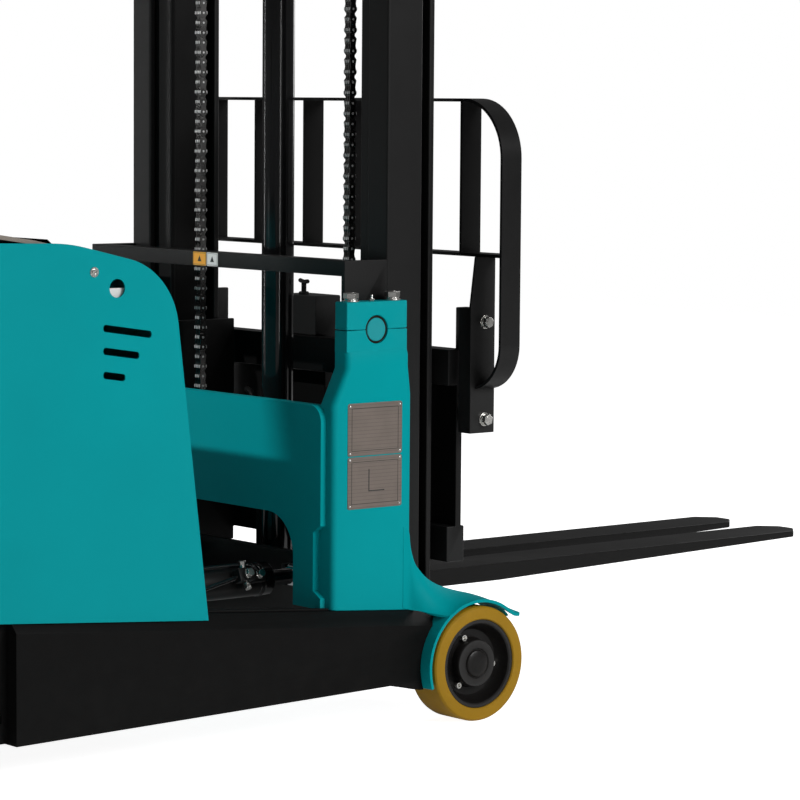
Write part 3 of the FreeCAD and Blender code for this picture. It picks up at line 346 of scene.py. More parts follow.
@dataclass(frozen=True)
class Casting(Finish):
    """Painted sand casting: a coarse skin under thick paint."""

    def dress(self, shader: Shader) -> None:
        """Coarse skin, polished high spots, dull hollows, and paler edges, partly worn paint and partly
        painted highlight.

        Args:
            shader: The shader that is filled in.
        """
        skin = shader.noise(210.0, 5.0)
        base = shader.tint(skin, darker(self.colour, 0.75), darker(self.colour, 1.3))
        # Paler edges: partly worn paint, partly painted highlight.
        base = shader.tint(shader.edges() * 0.45, base, tuple(part + 0.12 for part in self.colour))
        shader.set(Base_Color=base, Roughness=self.roughness - 0.06 + skin * 0.14,
                   Specular_IOR_Level=self.shine)
        shader.relief(skin, 0.0005, 0.55)


@dataclass(frozen=True)
class Moulding(Finish):
    """Moulded plastic or rubber with a leather-like grain."""

    grain_scale: float = 700.0
    depth: float = 0.00012

    def dress(self, shader: Shader) -> None:
        """Pebbled grain, faint bloom, and paler edges, partly rubbed wear and partly painted highlight.

        Args:
            shader: The shader that is filled in.
        """
        pebble = shader.cells(self.grain_scale)
        bloom = shader.noise(9.0, 4.0)
        base = shader.tint(bloom, darker(self.colour, 0.85), darker(self.colour, 1.3))
        # Paler edges: partly rubbed wear, partly painted highlight.
        base = shader.tint(shader.edges() * 0.3, base, tuple(part + 0.05 for part in self.colour))
        shader.set(Base_Color=base, Roughness=self.roughness - 0.05 + bloom * 0.1,
                   Specular_IOR_Level=self.shine)
        shader.relief(pebble, self.depth)


@dataclass(frozen=True)
class Ruled(Finish):
    """A blank metal rating plate: brushed, with faint ruled rows."""

    pitch: float = 0.0065

    def dress(self, shader: Shader) -> None:
        """Brushed lines along the plate, shallow etched rows and handling smears.

        Args:
            shader: The shader that is filled in.
        """
        lines = shader.noise(300.0, 3.0, (0.05, 1.0, 1.0))
        rows = shader.node("ShaderNodeMath", {"operation": "FRACT"}, {0: shader.height() / self.pitch})
        groove = (rows > 0.90) * 0.5
        smear = shader.noise(30.0, 4.0)
        base = shader.tint(smear, darker(self.colour, 0.85), darker(self.colour, 1.12))
        base = shader.tint(groove, base, darker(self.colour, 0.35))
        shader.set(Base_Color=base, Metallic=0.75, Roughness=self.roughness - 0.08 + lines * 0.16)
        shader.relief(lines - groove, 0.00006, 0.6)


@dataclass(frozen=True)
class Sticker(Finish):
    """A blank printed label under a clear film."""

    def dress(self, shader: Shader) -> None:
        """Slightly uneven ink under a smooth film.

        Args:
            shader: The shader that is filled in.
        """
        ink = shader.noise(160.0, 4.0)
        base = shader.tint(ink, darker(self.colour, 0.94), darker(self.colour, 1.04))
        shader.set(Base_Color=base, Roughness=self.roughness + ink * 0.05, Coat_Weight=0.4,
                   Coat_Roughness=0.15)
        shader.relief(shader.noise(90.0, 2.0), 0.00005, 0.4)


TEAL = Paint("teal_powder_coat", "teal_paint", (0.0, 0.315, 0.345), 0.48, 0.03, rub_and_sheen=0.08)
FRAME_BLACK = Paint("frame_black", "black_paint", (0.0042, 0.0041, 0.0041), 0.42, 0.05, rub_and_sheen=0.12, dust=0.03)
MAST_BLACK = Paint("mast_black", "mast_paint", (0.0058, 0.0057, 0.0057), 0.32, 0.16, peel=0.00004, rub_and_sheen=0.3)
FORK_BLACK = Paint("fork_black", "mast_paint", (0.0055, 0.0054, 0.0053), 0.38, 0.10, rub_and_sheen=0.25, dust=0.03)
GLOSS_BLACK = Paint("gloss_black", "black_paint", (0.0035, 0.0035, 0.0040), 0.13, 0.45, peel=0.00001,
                    peel_scale=120.0, rub_and_sheen=0.1, gloss=0.25)
HIGH_TEAL = Paint("pin_teal", "teal_paint", (0.0, 0.30, 0.33), 0.36, 0.22, rub_and_sheen=0.4)
URETHANE = Tread("cast_urethane", "polyurethane", (0.355, 0.195, 0.008), 0.5, 0.2)
BLACK_RUBBER = Tread("black_rubber", "hard_rubber", (0.016, 0.016, 0.016), 0.6)
RIM_IRON = Casting("rim_iron", "wheel_iron", (0.0080, 0.0072, 0.0068), 0.34, 0.22)
GREY_IRON = Casting("grey_iron", "ballast", (0.06, 0.06, 0.058), 0.6)
ZINC = Metal("zinc_plate", "steel", (0.66, 0.65, 0.62), 0.24, grime=0.3)
STEEL = Metal("turned_steel", "steel", (0.40, 0.39, 0.38), 0.30, grain=(1.0, 6.0, 1.0))
CHROME = Metal("hard_chrome", "chrome", (0.72, 0.72, 0.73), 0.08, grain=(1.0, 1.0, 8.0), depth=0.000004,
               grime=0.15)
# Bush bronze darkened to near black: partly grease, partly painted shade of the dark gap round the trunnion
# pin.
SHADED_BRONZE = Metal("greased_bronze_painted_shade", "bronze", (0.030, 0.024, 0.016), 0.45, grime=0.8)
LEAF = Metal("chain_leaf", "chain_steel", (0.15, 0.148, 0.145), 0.22, grime=0.8, depth=0.00008)
# Chain pins painted near white: bright steel, lifted into painted highlight for the chain's glints.
GLINT_PIN = Metal("chain_pin_painted_glint", "chain_steel", (0.92, 0.91, 0.90), 0.30, grime=0.1, metallic=0.3)
PLASTIC = Moulding("black_moulding", "black_plastic", (0.0095, 0.0095, 0.010), 0.46, 0.3)
GRIP = Moulding("grip_rubber", "black_plastic", (0.008, 0.008, 0.0085), 0.62, 0.3, 420.0, 0.0003)
TAN_TRIM = Moulding("tan_trim", "black_plastic", (0.21, 0.18, 0.15), 0.45)
CELL_GREY = Moulding("battery_case", "black_plastic", (0.42, 0.42, 0.40), 0.5, 0.4, 300.0)
CELL_CAP = Moulding("cell_cap", "black_plastic", (0.55, 0.09, 0.02), 0.4)
KEY_RED = Moulding("key_red", "black_plastic", (0.45, 0.012, 0.010), 0.32)
KEY_GREEN = Moulding("key_green", "black_plastic", (0.02, 0.25, 0.06), 0.32)
KEY_GREY = Moulding("key_grey", "black_plastic", (0.20, 0.20, 0.20), 0.4)
PLATE_STEEL = Ruled("rating_plate", "steel", (0.24, 0.20, 0.175), 0.36)
ORANGE_LABEL = Sticker("orange_label", "mast_paint", (0.92, 0.42, 0.03), 0.35)
WHITE_LABEL = Sticker("white_label", "mast_paint", (0.80, 0.80, 0.78), 0.35)
INK = Sticker("label_ink", "mast_paint", (0.012, 0.012, 0.012), 0.4)


# ---------------------------------------------------------------- shapes
class Axis(Enum):
    """Direction that a flat outline is drawn out along."""

    X = 0
    Y = 1
    Z = 2

    def spot(self, u: float, v: float, along: float) -> Vector:
        """Point of an outline: u and v in the plane, and a distance along the axis."""
        return Vector({0: (along, u, v), 1: (u, along, v), 2: (u, v, along)}[self.value])


def facing(centre: Sequence[float], normal: Sequence[float]) -> Matrix:
    """Placement whose own Z points along the normal at the centre.

    Args:
        centre: Where the local origin goes.
        normal: Direction of the local Z.

    Returns:
        The placement.
    """
    turn = Vector((0, 0, 1)).rotation_difference(Vector(normal).normalized()).to_matrix().to_4x4()
    return Matrix.Translation(Vector(centre)) @ turn


def arc(u: float, v: float, radius: float, start: float, stop: float, steps: int) -> list[Flat]:
    """Points of an arc.

    Args:
        u: First coordinate of the centre.
        v: Second coordinate of the centre.
        radius: Radius.
        start: First angle, in degrees.
        stop: Last angle, in degrees.
        steps: Number of chords.

    Returns:
        The points, both ends included.
    """
    turns = [math.radians(start + (stop - start) * i / steps) for i in range(steps + 1)]
    return [(u + radius * math.cos(t), v + radius * math.sin(t)) for t in turns]


def rounded(corners: Sequence[tuple[float, float, float]], steps: int = 5) -> list[Flat]:
    """Outline with arcs at its corners.

    Args:
        corners: Corners as (u, v, radius).
        steps: Chords of each arc.

    Returns:
        The outline's points.
    """
    points: list[Flat] = []
    count = len(corners)
    for i, (u, v, radius) in enumerate(corners):
        spot = Vector((u, v))
        if radius <= 0:
            points.append((u, v))
            continue
        back = (Vector(corners[i - 1][:2]) - spot).normalized()
        ahead = (Vector(corners[(i + 1) % count][:2]) - spot).normalized()
        half = back.angle(ahead) / 2
        centre = spot + (back + ahead).normalized() * (radius / math.sin(half))
        first = spot + back * (radius / math.tan(half)) - centre
        last = spot + ahead * (radius / math.tan(half)) - centre
        sweep = first.angle_signed(last)
        for step in range(steps + 1):
            turned = first.copy()
            turned.rotate(Matrix.Rotation(-sweep * step / steps, 2))
            points.append((centre.x + turned.x, centre.y + turned.y))
    return points


def pane(low: Flat, high: Flat, radius: float = 0.0, steps: int = 4) -> list[Flat]:
    """Rectangle between two corners, its own corners rounded if a radius is given.

    Args:
        low: Lowest corner.
        high: Highest corner.
        radius: Radius of the corners.
        steps: Chords of each arc.

    Returns:
        The outline's points.
    """
    return rounded([(low[0], low[1], radius), (high[0], low[1], radius), (high[0], high[1], radius),
                    (low[0], high[1], radius)], steps)


def put(name: str, data: bpy.types.ID) -> bpy.types.Object:
    """New object in the scene that holds the data."""
    made = bpy.data.objects.new(name, data)
    bpy.context.scene.collection.objects.link(made)
    return made


def smooth_path(points: Sequence[Sequence[float]], steps: int = 8) -> list[Vector]:
    """Catmull-Rom curve through the points.

    Args:
        points: Points of the route.
        steps: Pieces between each two.

    Returns:
        Points along the curve.
    """
    spots = [Vector(point) for point in points]
    spots = [spots[0] * 2 - spots[1]] + spots + [spots[-1] * 2 - spots[-2]]
    path = []
    for i in range(1, len(spots) - 2):
        a, b, c, d = spots[i - 1:i + 3]
        for step in range(steps):
            t = step / steps
            path.append(0.5 * ((2 * b) + (c - a) * t + (2 * a - 5 * b + 4 * c - d) * t * t
                               + (3 * b - a - 3 * c + d) * t * t * t))
    path.append(spots[-2])
    return path


class Shape:
    """A mesh under construction, in metres in the truck's own frame."""

    def __init__(self, name: str) -> None:
        """Start an empty mesh.

        Args:
            name: Name of the piece that it will become.
        """
        self.name = name
        self.mesh = bmesh.new()

    def ring(self, spots: Iterable[Vector]) -> list[bmesh.types.BMVert]:
        """Add points."""
        return [self.mesh.verts.new(spot) for spot in spots]

    def bridge(self, first: list, second: list) -> None:
        """Join two rings of equal length with quads.

        Args:
            first: One ring.
            second: The other ring.
        """
        count = len(first)
        for i in range(count):
            j = (i + 1) % count
            self.mesh.faces.new((first[i], first[j], second[j], second[i]))

    def loft(self, rings: Sequence[Sequence[Vector]], closed: bool = True) -> "Shape":
        """Skin a row of rings.

        Args:
            rings: Rings of equal length.
            closed: Whether the two ends are capped.

        Returns:
            The shape.
        """
        made = [self.ring(spots) for spots in rings]
        for first, second in zip(made, made[1:]):
            self.bridge(first, second)
        if closed:
            self.mesh.faces.new(list(reversed(made[0])))
            self.mesh.faces.new(made[-1])
        return self

    def prism(self, axis: Axis, outline: Sequence[Flat], low: float, high: float,
              holes: Sequence[Sequence[Flat]] = ()) -> "Shape":
        """Draw a flat outline out along an axis.

        Args:
            axis: Direction.
            outline: Corners in the plane.
            low: Start along the axis.
            high: End along the axis.
            holes: Outlines cut right through.

        Returns:
            The shape.
        """
        if not holes:
            return self.loft([[axis.spot(u, v, at) for u, v in outline] for at in (low, high)])
        sides = []
        for at in (low, high):
            rings = [self.ring(axis.spot(u, v, at) for u, v in loop) for loop in (outline, *holes)]
            edges = [self.mesh.edges.new((ring[i], ring[(i + 1) % len(ring)]))
                     for ring in rings for i in range(len(ring))]
            bmesh.ops.triangle_fill(self.mesh, use_beauty=True, edges=edges)
            sides.append(rings)
        for first, second in zip(*sides):
            self.bridge(first, second)
        return self

    def box(self, low: Sequence[float], high: Sequence[float]) -> "Shape":
        """Add a block between two corners."""
        return self.prism(Axis.Z, pane(low[:2], high[:2]), low[2], high[2])

    def turned(self, place: Matrix, profile: Sequence[Flat], steps: int = 40) -> "Shape":
        """Turn a profile about a placement's own Z.

        Args:
            place: The placement.
            profile: Points as (radius, along), radius nought closing an end.
            steps: Facets round the axis.

        Returns:
            The shape.
        """
        made = []
        for radius, along in profile:
            if radius < 1e-6:
                made.append(self.ring([place @ Vector((0, 0, along))]))
            else:
                made.append(self.ring(place @ Vector((radius * math.cos(a), radius * math.sin(a), along))
                                      for a in (math.tau * i / steps for i in range(steps))))
        for first, second in zip(made, made[1:]):
            if len(first) == 1:
                for i in range(steps):
                    self.mesh.faces.new((first[0], second[(i + 1) % steps], second[i]))
            elif len(second) == 1:
                for i in range(steps):
                    self.mesh.faces.new((first[i], first[(i + 1) % steps], second[0]))
            else:
                self.bridge(first, second)
        return self

    def hexagon(self, place: Matrix, flats: float, low: float, high: float) -> "Shape":
        """Add a bevelled hexagon head.

        Args:
            place: Placement of the head.
            flats: Width across the flats.
            low: Start along the placement's Z.
            high: End along it.

        Returns:
            The shape.
        """
        radius = flats / math.sqrt(3)
        rings = []
        for share, along in ((1.0, low), (1.0, high - flats * 0.06), (0.90, high)):
            rings.append([place @ Vector((radius * share * math.cos(a), radius * share * math.sin(a), along))
                          for a in (math.tau * i / 6 + 0.35 for i in range(6))])
        return self.loft(rings)

    def tube(self, path: Sequence[Vector], radius: float, sides: int = 12) -> "Shape":
        """Sweep a circle along a path.

        Args:
            path: Points of the path.
            radius: Radius of the circle.
            sides: Facets round it.

        Returns:
            The shape.
        """
        rings = []
        side = None
        for i, spot in enumerate(path):
            ahead = (path[min(i + 1, len(path) - 1)] - path[max(i - 1, 0)]).normalized()
            if side is None:
                side = ahead.orthogonal().normalized()
            side = (side - ahead * side.dot(ahead)).normalized()
            other = ahead.cross(side)
            rings.append([spot + (side * math.cos(a) + other * math.sin(a)) * radius
                          for a in (math.tau * j / sides for j in range(sides))])
        return self.loft(rings)

    def node(self, name: str) -> "Shape":
        """Take in the shape of a CAD node, with its flat faces whole.

        Args:
            name: The node's name.

        Returns:
            The shape.
        """
        copy = bmesh.new()
        copy.from_mesh(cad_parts[name].data)
        bmesh.ops.remove_doubles(copy, verts=copy.verts, dist=1e-6)
        bmesh.ops.dissolve_limit(copy, angle_limit=math.radians(1.0), verts=copy.verts, edges=copy.edges)
        spare = bpy.data.meshes.new("spare")
        copy.to_mesh(spare)
        copy.free()
        self.mesh.from_mesh(spare)
        bpy.data.meshes.remove(spare)
        return self

    def sheet(self, rows: Sequence[Sequence[Vector]], thick: float, down: Vector) -> "Shape":
        """Add a curved sheet of even thickness.

        Args:
            rows: Rows of points, all of equal length.
            thick: Thickness.
            down: Rough direction of the hidden side.

        Returns:
            The shape.
        """
        wide = len(rows[0])
        normals = []
        for i, row in enumerate(rows):
            for j in range(wide):
                along = rows[min(i + 1, len(rows) - 1)][j] - rows[max(i - 1, 0)][j]
                across = row[min(j + 1, wide - 1)] - row[max(j - 1, 0)]
                normal = along.cross(across).normalized()
                normals.append(normal if normal.dot(down) > 0 else -normal)
        upper = [self.ring(row) for row in rows]
        lower = [self.ring(spot + normals[i * wide + j] * thick for j, spot in enumerate(row))
                 for i, row in enumerate(rows)]
        for skin in (upper, lower):
            for first, second in zip(skin, skin[1:]):
                for j in range(wide - 1):
                    self.mesh.faces.new((first[j], first[j + 1], second[j + 1], second[j]))
        self.bridge(*(skin[0] + [row[-1] for row in skin[1:]] + skin[-1][-2::-1]
                      + [row[0] for row in skin[-2:0:-1]] for skin in (upper, lower)))
        return self

    def moved(self, change: Matrix) -> "Shape":
        """Apply a placement to everything so far."""
        bmesh.ops.transform(self.mesh, matrix=change, verts=self.mesh.verts)
        return self

    def piece(self, finish: Finish, body: str, edge: float = 0.0, segments: int = 2,
              stands_for: Sequence[str] = (), smooth: float = 40.0) -> bpy.types.Object:
        """Turn the mesh into a finished piece that rides on a body.

        Args:
            finish: Its finish.
            body: The body that it rides on; empty for a piece that is attached to no body.
            edge: Radius that its sharp edges are rounded to.
            segments: Facets of that rounding.
            stands_for: CAD nodes that it replaces.
            smooth: Angle below which edges are shaded smooth, in degrees.

        Returns:
            The piece.
        """
        bmesh.ops.recalc_face_normals(self.mesh, faces=self.mesh.faces)
        data = bpy.data.meshes.new(self.name)
        self.mesh.to_mesh(data)
        self.mesh.free()
        data.polygons.foreach_set("use_smooth", [True] * len(data.polygons))
        data.set_sharp_from_angle(angle=math.radians(smooth))
        data.materials.append(finish.material())
        made = put(self.name, data)
        if edge:
            rounding = made.modifiers.new("edges", "BEVEL")
            rounding.width = edge
            rounding.segments = segments
            rounding.limit_method = "ANGLE"
            rounding.angle_limit = math.radians(35.0)
            rounding.harden_normals = True
            rounding.use_clamp_overlap = True
        if body:
            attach(made, body)
        if stands_for:
            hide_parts(*stands_for)
        log.info("%s on %s: %d faces", self.name, body, len(data.polygons))
        return made


def dress_node(name: str, finish: Finish) -> None:
    """Give a CAD node that stays as it is its finish."""
    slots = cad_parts[name].data.materials
    slots.clear()
    slots.append(finish.material())


def soften(name: str, finish: Finish, body: str, edge: float, segments: int = 2) -> bpy.types.Object:
    """Replace a CAD node by the same shape with rounded edges."""
    return Shape(name + "_part").node(name).piece(finish, body, edge, segments, (name,))


@dataclass(frozen=True)
class HexBolt:
    """A hexagon bolt's head on its washers."""

    flats: float = 0.024
    head: float = 0.010
    stack: tuple[tuple[float, float], ...] = ((0.015, 0.0025), (0.0125, 0.0035))

    def add(self, shape: Shape, centre: Sequence[float], normal: Sequence[float]) -> None:
        """Add the head to a shape.

        Args:
            shape: The shape that takes it.
            centre: Where the bolt goes in.
            normal: Direction out of the surface.
        """
        place = facing(centre, normal)
        at = 0.0
        for radius, thick in self.stack:
            shape.turned(place, [(0, at), (radius, at), (radius, at + thick * 0.8),
                                 (radius - thick * 0.2, at + thick), (0, at + thick)], 28)
            at += thick
        shape.hexagon(place, self.flats, at, at + self.head)
        crown, top = self.flats * 0.36, at + self.head
        shape.turned(place, [(crown, top - 0.0002), (crown, top + 0.0006), (0, top + 0.0006)], 20)


# ---------------------------------------------------------------- the truck's sub-assemblies
DECK_SLOPE = 0.0792
UP = (0, 0, 1)


class Side(Enum):
    """Side of the truck; its value is the sign of Y there."""

    LEFT = 1
    RIGHT = -1

    def part(self, name: str) -> str:
        """Name of this side's own node, body or piece."""
        return f"{self.name.lower()}_{name}"


def reach_of(low: Vector, high: Vector) -> Flat:
    """Least and greatest distance of a box on one side from the truck's middle."""
    return tuple(sorted((abs(low.y), abs(high.y))))


@dataclass(frozen=True)
class Lamp:
    """A soft box: where it hangs, what it faces, its size in metres and its power in watts."""

    name: str
    spot: Point
    aim: Point
    size: Flat
    power: float


@dataclass
class Studio:
    """Camera, pale floor and soft lights."""

    eye: Point = (-3.641, -4.982, 1.119)
    heading: Flat = (0.6340, 0.7733)
    pitch_deg: float = 5.157
    roll_deg: float = 0.4295
    lens_mm: float = 148.71
    floor_half: float = 9.0
    floor_glow: float = 0.93
    ambient: float = 0.10
    lamps: tuple[Lamp, ...] = (
        Lamp("key", (1.6, -5.8, 3.4), (0, 0, 0.7), (3.0, 2.4), 268.0),
        Lamp("glint", (-2.1, -6.0, 1.6), (0, 0, 1.0), (0.10, 3.0), 14.0),
        Lamp("far_glint", (-2.4, 5.2, 1.6), (0, 0, 1.0), (0.10, 3.0), 12.0),
        Lamp("front", (5.5, 1.5, 2.5), (0, 0, 0.8), (3.0, 2.5), 60.0))
    spot_at: Point = (-3.4, 1.4, 3.36)
    spot_aim: Point = (-0.08, 1.150, 0.6)
    spot_power: float = 500.0
    spot_cone_deg: float = 36.0
    spot_blend: float = 0.03
    spot_radius: float = 0.045

    def camera(self) -> None:
        """Set the camera at the viewing angle."""
        data = bpy.data.cameras.new("view")
        data.lens = self.lens_mm
        data.sensor_width = 36.0
        data.clip_end = 100.0
        made = put("view", data)
        yaw = math.atan2(-self.heading[0], self.heading[1])
        turn = Matrix.Rotation(yaw, 4, "Z") @ Matrix.Rotation(math.radians(90 - self.pitch_deg), 4, "X")
        turn = turn @ Matrix.Rotation(math.radians(self.roll_deg), 4, "Z")
        made.matrix_world = Matrix.Translation(Vector(self.eye)) @ turn
        bpy.context.scene.camera = made

    def floor(self) -> None:
        """Lay the floor."""
        data = bpy.data.meshes.new("floor")
        corners = pane((-self.floor_half,) * 2, (self.floor_half,) * 2)
        data.from_pydata([(x, y, 0) for x, y in corners], [], [(0, 1, 2, 3)])
        made = put("floor", data)
        shader = Shader("studio_floor")
        seen = shader.node("ShaderNodeLightPath", {}, {}, "Is Camera Ray")
        shader.set(Base_Color=shader.tint(shader.noise(0.8), (0.86, 0.86, 0.86), (0.90, 0.90, 0.90)),
                   Roughness=0.8, Specular_IOR_Level=0.1, Emission_Strength=self.floor_glow,
                   Emission_Color=shader.tint(seen, (0.12, 0.12, 0.12), (1.0, 1.0, 1.0)))
        data.materials.append(shader.material)

    def surround(self) -> None:
        """Dim even light from all round, which the camera sees as white."""
        world = bpy.data.worlds.new("studio")
        bpy.context.scene.world = world
        world.use_nodes = True
        tree = world.node_tree
        mix = tree.nodes.new("ShaderNodeMixShader")
        dim, white = tree.nodes["Background"], tree.nodes.new("ShaderNodeBackground")
        for place, (ground, strength) in enumerate(((dim, self.ambient), (white, 1.0)), 1):
            ground.inputs[0].default_value = (1, 1, 1, 1)
            ground.inputs[1].default_value = strength
            tree.links.new(ground.outputs[0], mix.inputs[place])
        seen = tree.nodes.new("ShaderNodeLightPath")
        tree.links.new(seen.outputs["Is Camera Ray"], mix.inputs[0])
        tree.links.new(mix.outputs[0], tree.nodes["World Output"].inputs[0])

    @staticmethod
    def hang(data: bpy.types.Light, spot: Point, aim: Point) -> None:
        """Hang a lamp at a spot, facing another.

        Args:
            data: The lamp.
            spot: Where it hangs.
            aim: What it faces.
        """
        turn = facing(spot, Vector(aim) - Vector(spot)) @ Matrix.Rotation(math.pi, 4, "X")
        put(data.name, data).matrix_world = turn

    def lights(self) -> None:
        """Set the soft boxes, and the lamp behind and above the bodywork."""
        for lamp in self.lamps:
            data = bpy.data.lights.new(lamp.name, "AREA")
            data.shape = "RECTANGLE"
            data.size, data.size_y = lamp.size
            data.energy = lamp.power
            self.hang(data, lamp.spot, lamp.aim)
        data = bpy.data.lights.new("rear_spot", "SPOT")
        data.energy = self.spot_power
        data.spot_size = math.radians(self.spot_cone_deg)
        data.spot_blend = self.spot_blend
        data.shadow_soft_size = self.spot_radius
        self.hang(data, self.spot_at, self.spot_aim)

    def build(self) -> None:
        """Set up the whole studio."""
        self.camera()
        self.floor()
        self.surround()
        self.lights()
        bpy.context.scene.view_settings.view_transform = "Standard"


@dataclass
class Undercarriage:
    """Legs, belly pan, frame and axles."""

    edge: float = 0.0025
    plate_edge: float = 0.002
    seam_edge: float = 0.0012
    rib_outer: float = 0.436
    rib_width: float = 0.010
    rib_height: float = 0.004
    lip_band: Flat = (0.4045, 0.4695)
    lip_outline: tuple[Flat, ...] = (
        (0.020, 0.0850), (0.045, 0.0800), (0.070, 0.0748), (0.092, 0.0697), (0.108, 0.0668), (0.1190, 0.0660),
        (0.1170, 0.0740), (0.1152, 0.0860), (0.1142, 0.0960), (0.020, 0.0960))
    skirt_outline: tuple[Flat, ...] = ((-0.400, 0.0835), (-0.200, 0.0650), (0.004, 0.0650), (0.004, 0.098),
                                       (-0.400, 0.098))
    skirt_band: Flat = (0.004, 0.0002)

    def build(self) -> None:
        """Round the frame's edges and add the seams along the legs."""
        for side in Side:
            soften(side.part("leg"), FRAME_BLACK, "chassis", self.edge)
            self.rib(side)
            self.trim(side)
        soften("belly_pan", FRAME_BLACK, "chassis", self.plate_edge)
        soften("chassis_frame", FRAME_BLACK, "chassis", self.plate_edge)
        dress_node("front_axles", STEEL)

    def rib(self, side: Side) -> None:
        """Rib along the top of a leg, under the bodywork's foot.

        Args:
            side: Which side.
        """
        sign = side.value
        low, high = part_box(side.part("leg"))
        near, far = low.x + 0.002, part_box(side.part("tower"))[0].x - 0.004
        fallen = high.z - DECK_SLOPE * (far - near)
        tall = self.rib_height
        outline = [(near, high.z), (far, fallen), (far, fallen + tall), (near, high.z + tall)]
        shape = Shape(side.part("leg_rib"))
        shape.prism(Axis.Y, outline, sign * (self.rib_outer - self.rib_width), sign * self.rib_outer)
        shape.piece(FRAME_BLACK, "chassis", self.seam_edge)

    def trim(self, side: Side) -> None:
        """Lip under a leg's front end, and skirt along the frame behind it.

        Args:
            side: Which side.
        """
        sign = side.value
        inner, outer = self.lip_band
        lip = Shape(side.part("leg_lip")).prism(Axis.Y, self.lip_outline, sign * inner, sign * outer)
        lip.piece(FRAME_BLACK, "chassis", self.seam_edge)
        rear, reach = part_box(side.part("leg"))[0].x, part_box("chassis_frame")[1].y
        near, far = (sign * (reach - inset) for inset in self.skirt_band)
        skirt = Shape(side.part("frame_skirt"))
        skirt.prism(Axis.Y, [(rear + shift, z) for shift, z in self.skirt_outline], near, far)
        skirt.piece(FRAME_BLACK, "chassis", 0.0008)


